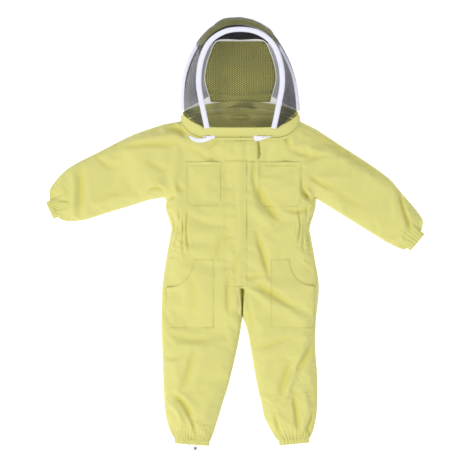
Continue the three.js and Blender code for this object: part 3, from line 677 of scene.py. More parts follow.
class Limb:
    """A sleeve or leg: an axis away from the trunk, with its upper rail on the positive side."""

    def __init__(self, name, facts):
        self.name = name
        self.facts = facts
        self.hinge = np.array(JOINTS[name + "_swing"]["pos_m"][:2])
        turn = math.radians(facts["angle"])
        self.way = np.array([math.cos(turn), math.sin(turn)])
        self.across = np.array([-self.way[1], self.way[0]]) * facts["side"]
        self.length = facts["length"]
        self.cut = self.length - HEM
        self.end = facts["end"] * MM

    def at(self, along, offset):
        return self.hinge + self.way * along + self.across * offset

    def local(self, points):
        away = np.asarray(points)[..., :2] - self.hinge
        return away @ self.way, away @ self.across

    def rail(self, side):
        sign = 1 if side == "upper" else -1
        rows = [(share * self.length, offset * MM) for share, offset in self.facts[side]]
        rows = [row for row in rows if row[0] < self.cut - 7 * MM]
        rows.append((self.cut, self.end + 1 * MM))
        return [self.at(along, sign * offset) for along, offset in rows]


LIMB = {name: Limb(name, facts) for name, facts in LIMBS.items()}


def outline_runs():
    """The garment's edge as runs of points, from the right side of the neck round to it again."""
    runs = []
    here = [np.array([-NECK_HALF, SHOULDER])]

    def line(point):
        runs.append(np.array([here[0], point]))
        here[0] = np.asarray(point, float)

    def curve(points):
        runs.append(catmull([here[0], *points], False, 14, 0.0))
        here[0] = np.asarray(points[-1], float)

    def side(sign):
        rows = [
            (CHEST_HALF + 2 * MM, ARMPIT + 3 * MM), (CHEST_HALF, ARMPIT - 32 * MM),
            (WAIST_HALF, WAIST + 8 * MM), (WAIST_HALF + 3 * MM, WAIST - 20 * MM),
            (HIP_HALF - 11 * MM, HIP + 80 * MM), (HIP_HALF, HIP),
        ]
        return [np.array([sign * x, y]) for x, y in rows]

    def limb(name, first):
        second = "lower" if first == "upper" else "upper"
        back = LIMB[name].rail(second)[::-1]
        curve(LIMB[name].rail(first))
        line(back[0])
        curve(back[1:])

    line(np.array([-NECK_HALF - 0.052, SHOULDER - 8 * MM]))
    limb("right_sleeve", "upper")
    curve(side(-1))
    limb("right_leg", "upper")
    line(np.array(CROTCH))
    limb("left_leg", "lower")
    curve(side(1)[::-1])
    limb("left_sleeve", "lower")
    line(np.array([NECK_HALF + 0.052, SHOULDER - 26 * MM]))
    line(np.array([NECK_HALF, SHOULDER]))
    side_of_neck = BACK_NECK - 14 * MM
    neck = [(0.100, side_of_neck), (0.0, BACK_NECK), (-0.100, side_of_neck), (-NECK_HALF, SHOULDER)]
    curve([np.array(p) for p in neck])
    return runs


# Where the cloth is gathered besides at the hems: the middle of each place, and half its width and height.
GATHERED = [(-0.208, WAIST, 0.03, 0.085), (0.216, WAIST, 0.03, 0.085), (0.004, -0.215, 0.012, 0.05)]


def spacing(points):
    """How far apart the cloth's points are: close together where it is gathered."""
    points = np.atleast_2d(points)
    near = np.full(len(points), 1.0)
    for limb in LIMB.values():
        along, _ = limb.local(points)
        reach = 0.05 if limb.name.endswith("sleeve") else 0.07
        near = np.minimum(near, np.clip((limb.cut - along - reach) / 0.04, 0, 1))
    for x, y, wide, tall in GATHERED:
        away = np.hypot((points[:, 0] - x) / wide, (points[:, 1] - y) / tall)
        near = np.minimum(near, np.clip((away - 1) / 0.8, 0, 1))
    return FINE + (COARSE - FINE) * smoothstep(near)


def resampled(run):
    path = Path(run, smooth=False)
    shares = [0.0]
    while shares[-1] < 1.0:
        step = float(spacing(path.at(shares[-1]))[0]) / path.length
        shares.append(shares[-1] + step)
    shares = np.array(shares) / shares[-1] if len(shares) > 2 else np.array([0.0, 1.0])
    return path.at(shares)


NECKLINE = [(-0.195, NECK_EDGE + 64 * MM), (-0.170, NECK_EDGE + 23 * MM), (-0.130, NECK_EDGE + 6 * MM),
            (0.0, NECK_EDGE + 6 * MM)]
NECKLINE += [(-x, y) for x, y in reversed(NECKLINE[:-1])]


def segment_distance(points, a, b):
    """The least distance from each point to any of the segments a-b."""
    best = np.full(len(points), 9.0)
    for start, end in zip(a, b):
        way = end - start
        share = np.clip(((points - start) @ way) / max(way @ way, 1e-12), 0, 1)
        gap = points - (start + share[:, None] * way)
        best = np.minimum(best, np.hypot(gap[:, 0], gap[:, 1]))
    return best


def inside(points, loop):
    """Even-odd test of each point against a closed loop."""
    x, y = points[:, 0], points[:, 1]
    hit = np.zeros(len(points), bool)
    for (x0, y0), (x1, y1) in zip(loop, np.roll(loop, -1, axis=0)):
        if y0 == y1:
            continue
        crosses = ((y0 > y) != (y1 > y)) & (x < (x1 - x0) * (y - y0) / (y1 - y0) + x0)
        hit ^= crosses
    return hit


def hex_points(low, high, step):
    """A honeycomb of points over a rectangle."""
    rows = []
    for k, y in enumerate(np.arange(low[1], high[1], step * 0.866)):
        row = np.arange(low[0] + (k % 2) * step / 2, high[0], step)
        rows.append(np.stack([row, np.full(len(row), y)], -1))
    return np.concatenate(rows)


def garment_plan():
    """Triangles over the garment's plan, with its seams as edges."""
    loop = np.concatenate([resampled(run)[:-1] for run in outline_runs()])
    count = len(loop)
    points = [loop]
    edges = [(i, (i + 1) % count) for i in range(count)]
    starts = [loop]
    ends = [np.roll(loop, -1, axis=0)]
    slot_top, armhole = NECK_EDGE + 5 * MM, ARMPIT + 6 * MM
    seams = [
        catmull(NECKLINE, False, 8),
        [[-SLOT_HALF, SLOT_BOTTOM], [-SLOT_HALF, slot_top]],
        [[SLOT_HALF, SLOT_BOTTOM], [SLOT_HALF, slot_top]],
        [[-SLOT_HALF, SLOT_BOTTOM], [SLOT_HALF, SLOT_BOTTOM]],
        [[0.0, SLOT_BOTTOM], [CROTCH.x, CROTCH.y + 3 * MM]],
        [[-CHEST_HALF, armhole], [-CHEST_HALF, SHOULDER - 12 * MM]],
        [[CHEST_HALF, armhole], [CHEST_HALF, SHOULDER - 28 * MM]],
    ]
    total = count
    for seam in seams:
        run = resampled(np.array(seam))
        points.append(run)
        edges += [(total + i, total + i + 1) for i in range(len(run) - 1)]
        total += len(run)
        starts.append(run[:-1])
        ends.append(run[1:])
    starts = np.concatenate(starts)
    ends = np.concatenate(ends)
    low, high = loop.min(0), loop.max(0)
    middle = (COARSE + FINE) / 2
    grids = []
    for step, wanted in ((COARSE, lambda h: h > middle), (FINE, lambda h: h <= middle)):
        grid = hex_points(low, high, step)
        grid = grid[inside(grid, loop)]
        grid = grid[wanted(spacing(grid))]
        grid = grid[segment_distance(grid, starts, ends) > 0.6 * step]
        grids.append(grid)
    points = np.concatenate([*points, *grids])
    made = geometry.delaunay_2d_cdt([Vector(p) for p in points], edges, [], 1, 1e-7)
    flat = np.array([tuple(v) for v in made[0]])
    triangles = np.array([f for f in made[2] if len(f) == 3])
    return flat, triangles, loop


# ---------- folds and gathers ----------

# Each fold runs through its points, in millimetres, with its width and its rise (a valley's is negative).
FOLDS = [
    ([(-380, 306), (-290, 324), (-182, 324)], 12, 7),
    ([(-410, 290), (-300, 299), (-196, 300)], 9, -7),
    ([(-240, 352), (-205, 350), (-178, 324)], 13, -13),
    ([(-222, 330), (-160, 306), (-108, 286)], 12, 5),
    ([(-196, 292), (-150, 282), (-118, 268)], 9, -4),
    ([(-306, 150), (-278, 157), (-250, 152)], 6, -10),
    ([(-300, 168), (-272, 172), (-246, 168)], 9, 4),
    ([(-244, 118), (-216, 131)], 5, -9),
    ([(-212, 170), (-186, 146)], 11, -8),
    ([(-318, 250), (-275, 228), (-240, 212)], 12, -4),
    ([(-527, 224), (-524, 150), (-531, 72)], 12, -9),
    ([(-556, 228), (-552, 150), (-556, 80)], 10, 5),
    ([(-600, 118), (-566, 116)], 6, -7),
    ([(-626, 108), (-608, 101)], 5, -6),
    ([(-480, 262), (-430, 232), (-385, 222)], 12, -3.5),
    ([(-470, 120), (-420, 142), (-360, 150)], 14, -3),
    ([(-104, 294), (-86, 308), (-68, 318)], 7, -7),
    ([(-122, 262), (-98, 255), (-78, 262)], 6, -5),
    ([(215, 345), (330, 280), (440, 212), (480, 178)], 14, -6),
    ([(226, 202), (262, 176), (308, 152)], 10, -9),
    ([(308, 152), (350, 122), (400, 92)], 15, -5),
    ([(250, 182), (300, 192), (360, 184)], 16, 5),
    ([(516, 152), (534, 100), (552, 50), (574, 0)], 8, -12),
    ([(500, 120), (508, 80), (516, 50)], 8, 4),
    ([(202, 160), (210, 138), (232, 120)], 7, -14),
    ([(214, 176), (222, 152), (240, 136)], 6, 5),
    ([(163, 307), (230, 290), (305, 254)], 14, 6),
    ([(216, 248), (262, 266), (304, 260)], 9, -6),
    ([(44, 180), (82, 112), (130, 50)], 16, -12),
    ([(24, 128), (62, 70), (96, 34)], 15, 5),
    ([(50, 250), (44, 210), (46, 176)], 9, -6),
    ([(148, 347), (154, 318), (168, 288)], 8, -9),
    ([(168, 288), (204, 272), (236, 268)], 9, -5),
    ([(59, 324), (61, 285), (64, 250)], 6, -11),
    ([(205, 182), (212, 150), (222, 122)], 8, -9),
    ([(148, 92), (190, 84), (228, 96)], 10, -6),
    ([(52, 16), (70, -46), (96, -134)], 10, -11),
    ([(80, 14), (102, -40), (124, -100)], 13, 5),
    ([(2, -134), (36, -137), (72, -124)], 8, -9),
    ([(40, -148), (110, -192), (186, -242)], 14, -11),
    ([(16, -166), (60, -192), (100, -228)], 9, 6),
    ([(-34, -125), (-41, -190), (-38, -272)], 9, -9),
    ([(-16, -190), (-14, -240)], 8, 6),
    ([(22, -205), (30, -262), (36, -315)], 8, -7),
    ([(3, -40), (-14, -92), (-14, -135)], 8, -7),
    ([(-12, 44), (-4, -30), (0, -80)], 12, 3),
    ([(-221, -519), (-184, -556), (-158, -607)], 10, -15),
    ([(-240, -545), (-208, -582), (-188, -635)], 10, 7),
    ([(-158, -607), (-150, -640), (-147, -664)], 7, -10),
    ([(-155, -375), (-167, -436), (-188, -510)], 12, -7),
    ([(-126, -395), (-138, -450), (-150, -510)], 14, 4),
    ([(-245, -395), (-225, -402), (-200, -398)], 10, -5),
    ([(217, -336), (186, -430), (146, -538)], 11, 9),
    ([(240, -350), (212, -400), (180, -456)], 14, -10),
    ([(166, -415), (145, -470), (130, -535)], 13, -8),
    ([(178, -515), (186, -590), (193, -656)], 10, -11),
    ([(205, -500), (220, -560), (215, -610)], 11, 7),
    ([(240, -580), (228, -620), (211, -662)], 7, -13),
    ([(112, -580), (124, -630), (141, -678)], 7, -11),
    ([(56, -368), (104, -354), (160, -330)], 11, -6),
    ([(70, -397), (120, -387), (165, -362)], 12, 3.5),
    ([(-215, -326), (-160, -343), (-104, -338)], 13, -5),
    ([(-30, 20), (-60, -20), (-70, -70)], 15, -4),
    ([(-150, 62), (-120, 42), (-86, 42)], 13, -4),
    ([(-175, -100), (-150, -200), (-170, -290)], 22, -3),
    ([(140, -180), (160, -240), (210, -280)], 18, 3),
]


def fold_height(points):
    """The rise of every fold at each point."""
    total = np.zeros(len(points))
    for run, width, rise in FOLDS:
        path = Path(np.array(run) * MM) if len(run) > 2 else Path(np.array(run) * MM, smooth=False)
        samples = path.spaced(5 * MM)
        near = segment_distance(points, samples[:-1], samples[1:])
        close = near < 4 * width * MM
        if not close.any():
            continue
        picked = points[close]
        gaps = np.hypot(picked[:, None, 0] - samples[None, :, 0], picked[:, None, 1] - samples[None, :, 1])
        share = gaps.argmin(1) / (len(samples) - 1)
        taper = smoothstep(share / 0.3) * smoothstep((1 - share) / 0.3) * 0.75 + 0.25
        across = near[close] / (width * MM)
        shape = np.exp(-(across**2)) - 0.35 * np.exp(-((across / 2.1) ** 2))
        total[close] += rise * MM * taper * shape
    return total


def pleat_shape(phase):
    """Rounded ridges with sharp valleys, from -1 to about 0.4."""
    return np.abs(np.sin(phase)) ** 0.55 * 1.4 - 1.0


def hem_gathers(points, front):
    """How far the gathers at the limbs' ends lift the cloth."""
    total = np.zeros(len(points))
    for index, limb in enumerate(LIMB.values()):
        along, offset = limb.local(points)
        back = limb.cut - along
        near = (back > -0.01) & (back < 0.14) & (np.abs(offset) < 0.15)
        if not near.any():
            continue
        width = limb.end + np.clip(back[near], 0, 0.1) * 0.45
        share = offset[near] / width
        seed = index * 3.1 + (0 if front else 7.7)
        wobble = wander((s * 2.3, seed, b * 14) for s, b in zip(share, back[near]))
        phase = share * limb.facts["pleats"] * math.pi / 2 + wobble * 1.3
        which = np.floor(phase / math.pi)
        reach = 0.022 + 0.030 * (0.5 + 0.5 * np.sin(which * 2.7 + seed))
        fade = np.exp(-((np.clip(back[near], 0, 1) / reach) ** 1.5))
        fade = fade * smoothstep((1.25 - np.abs(share)) / 0.3)
        rise = (3.6 if limb.name.endswith("leg") else 3.0) * MM
        total[near] += rise * pleat_shape(phase) * fade
    return total


# The creases that the waist elastic makes: each one's distance from the centre at the waist, how far its ends
# spread from it, and how far it runs up and down.
WAIST_CREASES = {
    -1: [(178, -12, 62, 84), (190, -5, 40, 96), (200, 1, 74, 52), (209, 7, 46, 78), (218, 13, 60, 40)],
    1: [(199, -8, 66, 50), (208, -1, 50, 86), (216, 5, 78, 60), (223, 11, 44, 92), (229, 15, 58, 52)],
}


def waist_gathers(points):
    """The puckers that the waist elastic makes at both sides, drawn together at the waist."""
    total = np.zeros(len(points))
    rise = points[:, 1] - WAIST - 8 * MM
    for sign, creases in WAIST_CREASES.items():
        for place, spread, up, down in creases:
            reach = np.where(rise > 0, up, down) * MM
            share = np.clip(np.abs(rise) / reach, 0, 1)
            middle = place * MM + spread * MM * share**1.6
            sway = wander((y * 22, place, 0.5) for y in points[:, 1]) * 1.6 * MM
            across = (sign * points[:, 0] - middle - sway) / (3.4 * MM + 2.2 * MM * share)
            valley = np.exp(-(across**2)) - 0.55 * np.exp(-(((np.abs(across) - 1.9) / 1.0) ** 2))
            total -= 5.5 * MM * valley * (1 - share**2)
    return total


def crotch_notch(points):
    """The front's deep tuck where the legs part: wide under the zip and narrow at the crotch."""
    top = -0.172
    down = (top - points[:, 1]) / (top - CROTCH.y)
    width = (6.8 - 4.2 * np.clip(down * 1.6, 0, 1)) * MM
    middle = (6.5 - 1.5 * np.clip(down, 0, 1)) * MM
    deep = smoothstep((down + 0.03) / 0.10) * smoothstep((1.25 - down) / 0.3)
    return -26 * MM * np.exp(-(((points[:, 0] - middle) / width) ** 4)) * deep


EDGE_ROLL = 52 * MM


def front_rest_height(points, edge_gap):
    """The front layer before it is slackened: a low loft that rolls over at the edges, with its folds."""
    loft = np.full(len(points), CLOTH_TOP - 3.5 * MM)
    for limb in LIMB.values():
        along, _ = limb.local(points)
        weight = smoothstep((along + 0.02) / 0.16)
        loft = loft * (1 - weight) + limb.facts["loft"] * MM * weight
    neck_gap = segment_distance(points, NECK_POINTS[:-1], NECK_POINTS[1:])
    near_neck = np.exp(-((neck_gap / 0.045) ** 2))
    loft = loft * (1 - near_neck) + (CLOTH_TOP - 0.6 * MM) * near_neck
    share = np.clip(edge_gap / EDGE_ROLL, 0, 1)
    dome = (1 - (1 - share) ** 2) ** 0.62
    height = 3 * MM + (loft - 3 * MM) * dome
    spread = np.column_stack([points, np.zeros(len(points))])
    calm = smoothstep(edge_gap / 0.02)
    height += calm * (ripple(spread, 0.11, 3.0) * 2.6 + ripple(spread, 0.045, 8.0) * 1.1) * MM
    height += fold_height(points) * (0.25 + 0.75 * calm) * smoothstep(edge_gap / 0.006)
    return height


def hem_height(limb, offset, front):
    """The open end of a sleeve or leg: a flattened ring."""
    share = np.clip(np.abs(offset) / (limb.end + 1 * MM), 0, 1)
    bow = np.sqrt(np.clip(1 - share**4, 0, 1))
    return HEM_MIDDLE + (13.2 * MM * bow if front else -13.0 * MM * bow)


HEM_MIDDLE = 15 * MM
NECK_POINTS = catmull(NECKLINE, False, 8)
SLACK = -0.014
SIM_FRAMES = 14


def relax(points, faces, pinned):
    """Lets the cloth take up its slack: Blender's cloth, held at its seams and by a little air inside."""
    scene = bpy.context.scene
    mesh = bpy.data.meshes.new("slack")
    mesh.from_pydata([tuple(p) for p in points], [], [tuple(int(i) for i in f) for f in faces])
    body = add("slack", mesh)
    group = body.vertex_groups.new(name="held")
    group.add([int(i) for i in np.nonzero(pinned)[0]], 1.0, "REPLACE")
    cloth = body.modifiers.new("cloth", "CLOTH")
    settings = cloth.settings
    settings.quality = 4
    settings.mass = 0.25
    settings.tension_stiffness = 18
    settings.compression_stiffness = 18
    settings.shear_stiffness = 6
    settings.bending_stiffness = 6.0
    settings.air_damping = 6
    settings.shrink_min = SLACK
    settings.use_pressure = True
    settings.uniform_pressure_force = 0.25
    settings.vertex_group_mass = "held"
    settings.effector_weights.gravity = 0.0
    cloth.collision_settings.use_collision = False
    cloth.collision_settings.use_self_collision = False
    cloth.point_cache.frame_start = 1
    cloth.point_cache.frame_end = SIM_FRAMES
    for step in range(1, SIM_FRAMES + 1):
        scene.frame_set(step)
    graph = bpy.context.evaluated_depsgraph_get()
    settled = body.evaluated_get(graph).data
    moved = np.zeros(len(settled.vertices) * 3)
    settled.vertices.foreach_get("co", moved)
    moved = moved.reshape(-1, 3)
    scene.frame_set(1)
    bpy.data.objects.remove(body)
    step = moved - points
    far = np.linalg.norm(step, axis=1, keepdims=True)
    most = 9 * MM
    return points + step * np.minimum(1, most / np.maximum(far, 1e-9))


TOUCHING = 1e-5


class Garment:
    """The whole coverall as one slack shell: a front and a back layer that share the side seams."""

    def __init__(self):
        flat, self.triangles, loop = garment_plan()
        self.edge_gap = segment_distance(flat, loop, np.roll(loop, -1, axis=0))
        front, back, shared, held = self.rest_layers(flat)
        count = len(flat)
        self.back_index = np.arange(count)
        self.back_index[~shared] = count + np.arange((~shared).sum())
        points = np.concatenate([np.column_stack([flat, front]), np.column_stack([flat, back])[~shared]])
        faces = np.concatenate([self.triangles, self.back_index[self.triangles][:, ::-1]])
        pinned = np.ones(len(points), bool)
        pinned[:count] = held
        points = relax(points, faces, pinned)
        self.crease = np.zeros(len(points))
        self.crease[:count] = self.gather(flat, points, shared)
        self.points = points
        self.centre = flat[self.triangles].mean(1)
        x, y = self.centre.T
        self.in_neck = y > np.interp(x, NECK_POINTS[:, 0], NECK_POINTS[:, 1], left=9, right=9)
        self.in_slot = (np.abs(x) < SLOT_HALF) & (y > SLOT_BOTTOM)
        corners = [tuple(map(int, triangle)) for triangle in self.triangles]
        self.tree = BVHTree.FromPolygons([Vector(p) for p in points[:count]], corners)

    def rest_layers(self, flat):
        """Both layers' heights before the cloth slackens, the points they share, and the points held still."""
        on_edge = self.edge_gap < TOUCHING
        at_hem = np.zeros(len(flat), bool)
        front = front_rest_height(flat, self.edge_gap)
        spread = np.column_stack([flat, np.zeros(len(flat))])
        back = (1.3 + 0.8 * ripple(spread, 0.06, 5.0)) * MM * smoothstep(self.edge_gap / 0.03) + 0.6 * MM
        for limb in LIMB.values():
            along, offset = limb.local(flat)
            back_off = limb.cut - along
            near = smoothstep(1 - np.clip(back_off, 0, 1) / 0.055) * (back_off > -1e-4)
            near *= np.abs(offset) < 0.14
            front = front * (1 - near) + hem_height(limb, offset, True) * near
            back = back * (1 - near) + hem_height(limb, offset, False) * near
            at_hem |= (np.abs(back_off) < TOUCHING) & (np.abs(offset) < limb.end + 0.5 * MM)
        shared = on_edge & ~at_hem
        front[shared] = np.maximum((front[shared] + back[shared]) / 2, 2.2 * MM)
        aside = np.abs(flat[:, 0]) - SLOT_HALF
        above = flat[:, 1] - SLOT_BOTTOM
        in_slot = (aside < TOUCHING) & (above > -TOUCHING) & (flat[:, 1] < NECK_EDGE)
        slot_edge = in_slot & ((np.abs(aside) < TOUCHING) | (above < TOUCHING))
        pull = np.exp(-((np.clip(aside, 0, 1) / 0.03) ** 2))
        pull *= (above > -0.02) * smoothstep((above + 0.02) / 0.04)
        front = front * (1 - pull) + (CLOTH_TOP - 1.4 * MM) * pull
        on_neck = segment_distance(flat, NECK_POINTS[:-1], NECK_POINTS[1:]) < TOUCHING
        return front, back, shared, on_edge | slot_edge | on_neck

    def gather(self, flat, points, shared):
        """Gathers the settled points, and returns how deep in a crease each front point is."""
        count = len(flat)
        gathers = hem_gathers(flat, True) + waist_gathers(flat) * smoothstep(self.edge_gap / 0.008)
        notch = crotch_notch(flat) * smoothstep(self.edge_gap / 0.004)
        points[:count, 2] = np.clip(points[:count, 2] + gathers + notch, 1.6 * MM, CLOTH_TOP + 2.5 * MM)
        lift = hem_gathers(flat, False)[~shared]
        points[count:, 2] = np.maximum(points[count:, 2] - 0.5 * lift, 0.9 * MM)
        # This depth paints shade into the creases through the cotton's crease colour.
        return np.clip(-(fold_height(flat) * 0.9 + gathers * 1.4 + notch * 0.5) / (9 * MM), 0, 0.85)

    def height(self, x, y):
        """The front layer's height at a place in plan."""
        hit = self.tree.ray_cast(Vector((float(x), float(y), 1.0)), Vector((0, 0, -1)))[0]
        return hit.z if hit is not None else CLOTH_TOP - 6 * MM

    def heights(self, points):
        return np.array([self.height(x, y) for x, y in np.asarray(points)[:, :2]])

    def region(self):
        """Which part of the garment each triangle belongs to."""
        x, y = self.centre.T
        seam = CROTCH.x * np.clip((SLOT_BOTTOM - y) / (SLOT_BOTTOM - CROTCH.y), 0, 1)
        area = np.where(x < seam, "right_body", "left_body").astype(object)
        area[(x < -CHEST_HALF) & (y > 0)] = "right_sleeve"
        area[(x > CHEST_HALF) & (y > 0)] = "left_sleeve"
        area[(x > CHEST_HALF) & (LIMB["left_sleeve"].local(self.centre)[0] > 0) & (y > -0.06)] = "left_sleeve"
        return area

    def piece(self, name, wanted, front=True, back=True, axis=None):
        """A sewn piece of the shell as its own object."""
        faces = []
        if front:
            faces.append(self.triangles[wanted & ~self.in_neck & ~self.in_slot])
        if back:
            faces.append(self.back_index[self.triangles[wanted]][:, ::-1])
        faces = np.concatenate(faces)
        used = np.unique(faces)
        index = np.full(len(self.points), -1)
        index[used] = np.arange(len(used))
        points = self.points[used]
        uv = points[:, :2]
        if axis is not None:
            along, offset = axis.local(points)
            uv = np.stack([offset, along], -1)
        made = new_object(name, points, index[faces], COTTON, uv, self.crease[used])
        return thicken(made, 0.9 * MM)


garment = Garment()
REGION = garment.region()


def leg_blend(piece):
    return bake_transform(piece)


def make_shell():
    """The shell's six sewn pieces: a sleeve, a front and a back on each side."""
    for side in ("right", "left"):
        limb = LIMB[side + "_sleeve"]
        sleeve = garment.piece(limb.name, REGION == limb.name, axis=limb)
        fit(sleeve, replaces=(limb.name + "_back", limb.name + "_front"))
        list(limb.at(0.0, 0))
        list(limb.at(0.11, 0))
        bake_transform(sleeve)
        for layer, body in (("front", side + "_front_body"), ("back", "back_body")):
            only = {"front": layer == "front", "back": layer == "back"}
            made = garment.piece(side + "_" + layer, REGION == side + "_body", **only)
            fit(made, replaces=(body, side + "_leg_" + layer))
            leg_blend(made)


make_shell()


# ---------- hems ----------


def make_hem(limb):
    """A gathered channel round a limb's open end."""
    around = 26 * limb.facts["pleats"] // 2
    rows = 8
    points = []
    depths = []
    for i in range(rows + 1):
        along = limb.cut - 1.5 * MM + (HEM + 0.5 * MM) * i / rows
        edge = 1.0 - 0.9 * smoothstep(abs(i / rows - 0.5) * 2 - 0.72)
        for j in range(around):
            turn = 2 * math.pi * j / around
            across = math.cos(turn)
            rise = math.copysign(abs(math.sin(turn)) ** 0.55, math.sin(turn))
            front = rise > 0
            phase = across * limb.facts["pleats"] * math.pi / 2 + 0.8 * math.sin(turn * 3 + limb.length * 40)
            deep = (2.2 if front else 0.5) * MM * (0.4 + 0.6 * abs(rise))
            pleat = float(pleat_shape(np.array(phase))) * deep
            bulge = 0.5 * MM * math.sin(math.pi * i / rows)
            plan = limb.at(along, (limb.end + bulge) * across)
            height = HEM_MIDDLE + rise * (14.4 * MM + bulge + pleat * edge)
            points.append((*plan, max(height, 0.4 * MM)))
            # The pleats' valleys on the front get painted crease shade.
            depths.append(-pleat * edge / (3.5 * MM) if front else 0.0)
    faces = []
    for i in range(rows):
        for j in range(around):
            n = (j + 1) % around
            faces.append((i * around + j, i * around + n, (i + 1) * around + n, (i + 1) * around + j))
    made = new_object(limb.name + "_cuff", points, faces, COTTON, crease=np.clip(depths, 0, 0.8))
    face_up(made, (*limb.at(limb.cut + HEM / 2, 0), HEM_MIDDLE))
    fit(thicken(made, 0.8 * MM), limb.name, (limb.name + "_hem",))
    rings = []
    for i in (2, 6):
        ring = np.array(points[i * around : (i + 1) * around])
        rings.append(np.concatenate([ring, ring[:1]]))
    fit(stitched(limb.name + "_cuff_stitches", rings, 3.0 * MM, 2.1 * MM), limb.name)


for limb in LIMB.values():
    make_hem(limb)


# ---------- patches: pockets and flaps ----------


PATCH_STEP = 4 * MM
PATCH_WALL = 0.7 * MM


def patch_mesh(name, loop, lift, edge_shade=0.5, base=garment.heights):
    """A cloth patch that lies on the front layer, raised by lift(points, edge gap)."""
    loop = np.asarray(loop, float)
    border = Path(np.concatenate([loop, loop[:1]]), smooth=False)
    corners = border.run[:-1]
    walked = np.unique(np.concatenate([np.arange(0, border.length, PATCH_STEP), corners]))
    keep = [walked[0]]
    for place in walked[1:]:
        if place - keep[-1] > 0.35 * PATCH_STEP:
            keep.append(place)
    rim = np.array(border.at(np.array(keep) / border.length))
    edges = [(i, (i + 1) % len(rim)) for i in range(len(rim))]
    grid = hex_points(rim.min(0), rim.max(0), PATCH_STEP)
    grid = grid[inside(grid, rim)]
    grid = grid[segment_distance(grid, rim, np.roll(rim, -1, axis=0)) > 0.6 * PATCH_STEP]
    flat = np.concatenate([rim, grid])
    made = geometry.delaunay_2d_cdt([Vector(p) for p in flat], edges, [], 1, 1e-7)
    flat = np.array([tuple(v) for v in made[0]])
    gap = segment_distance(flat, rim, np.roll(rim, -1, axis=0))
    heights = base(flat) + PATCH_WALL + 0.15 * MM + lift(flat, gap)
    faces = [f for f in made[2] if len(f) == 3]
    # Fold valleys under the patch get painted crease shade.
    crease = np.clip(-fold_height(flat) / (10 * MM), 0, 0.7)
    piece = new_object(name, np.column_stack([flat, heights]), faces, COTTON, crease=crease)
    # A darker line along the patch's sewn edge, partly painted shade and partly soil, broken up at random along
    # its length.
    soil_and_shade_patches = np.clip(0.5 + 1.2 * ripple(np.column_stack([flat, flat[:, 0]]), 0.07), 0.05, 1)
    seam = edge_shade * np.exp(-((gap / (2.5 * MM)) ** 2)) * soil_and_shade_patches
    shade_points(piece.data, "seam", seam)
    return thicken(face_up(piece), PATCH_WALL)


def seam_line(points, lift=1.0 * MM):
    """A run of sewing along the front layer."""
    run = Path(points, smooth=False).spaced(3 * MM)
    return np.column_stack([run, garment.heights(run) + lift])


def make_chest_pocket(side):
    low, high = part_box(side + "_chest_pocket")
    left, right, bottom, top = low.x, high.x, low.y, high.y
    corner = 14 * MM
    gape_at = left + (right - left) * (0.7 if side == "right" else 0.62)

    def lift(points, gap):
        puff = 1.2 * MM * smoothstep(gap / 0.04)
        open_edge = np.exp(-(((top - points[:, 1]) / 0.010) ** 2))
        gape = 4.2 * MM * np.exp(-(((points[:, 0] - gape_at) / 0.020) ** 2)) * open_edge
        wave = np.sin((points[:, 0] + points[:, 1]) * 2 * math.pi / (13 * MM))
        pucker = 0.25 * MM * wave * np.exp(-gap / (6 * MM))
        return puff + gape + 0.7 * MM * open_edge + pucker

    def inset(by):
        cut_in = corner + by * 0.4
        return [(left + by, top), (left + by, bottom + cut_in), (left + cut_in, bottom + by),
                (right - cut_in, bottom + by), (right - by, bottom + cut_in), (right - by, top)]

    pocket = patch_mesh(side + "_chest_pouch", inset(0), lift)
    fit(pocket, "trunk", (side + "_chest_pocket",))
    rows = [seam_line(inset(by), 1.1 * MM) for by in (2.2 * MM, 7.5 * MM)]
    for down in (13 * MM, 14.6 * MM):
        run = seam_line([(left + 3 * MM, top - down), (right - 3 * MM, top - down)], 0)
        run[:, 2] += 0.85 * MM + lift(run[:, :2], np.minimum(run[:, 0] - left, right - run[:, 0]))
        rows.append(run)
    fit(stitched(side + "_chest_pouch_stitches", rows), "trunk")


def make_hip_pocket(side):
    low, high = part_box(side + "_hip_pocket")
    bottom, top = low.y, high.y
    outer, inner = (low.x, high.x) if side == "right" else (high.x, low.x)
    sign = 1 if side == "right" else -1
    wide, deep = (82 * MM, 90 * MM) if side == "right" else (74 * MM, 86 * MM)
    edge = outer - sign * 9 * MM
    turns = np.linspace(0, math.pi / 2, 22)

    def mouth_at(by):
        return [(outer + sign * (wide + by) * math.cos(a), top - (deep + by) * math.sin(a)) for a in turns]

    mouth = mouth_at(0)[:-1] + [(edge, top - deep * 1.03)]
    loop = [(inner, bottom), (inner, top)] + mouth + [(edge, bottom)]
    if side == "left":
        loop = loop[::-1]

    def lift(points, gap):
        puff = 1.1 * MM * smoothstep(gap / 0.04)
        ring = np.hypot((points[:, 0] - outer) / wide, (points[:, 1] - top) / deep) - 1
        open_edge = np.exp(-((ring * deep / 0.009) ** 2))
        outside = np.exp(-(((points[:, 0] - edge) / 0.028) ** 2))
        return puff + open_edge * (0.5 + 5.6 * outside) * MM

    pocket = fit(patch_mesh(side + "_hip_pouch", loop, lift), replaces=(side + "_hip_pocket",))
    leg_blend(pocket)
    width, height = abs(edge - inner), top - bottom
    area = width * height - math.pi / 4 * wide * deep
    rows = []
    for by in (2.2 * MM, 7.5 * MM):
        rows.append(seam_line([(inner - sign * by, bottom + 2 * MM), (inner - sign * by, top - 2 * MM)]))
    foot = bottom + 2.2 * MM
    rows.append(seam_line([(edge + sign * 3 * MM, foot), (inner - sign * 2 * MM, foot)]))
    for by in (3 * MM, 8 * MM):
        run = seam_line(mouth_at(by)[1:-1], 0)
        run[:, 2] += 0.85 * MM + lift(run[:, :2], np.full(len(run), by))
        rows.append(run)
    leg_blend(fit(stitched(side + "_hip_pouch_stitches", rows)))


HOOK_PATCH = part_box("throat_hook_patch")
PULL_LIFT = 2.5 * MM


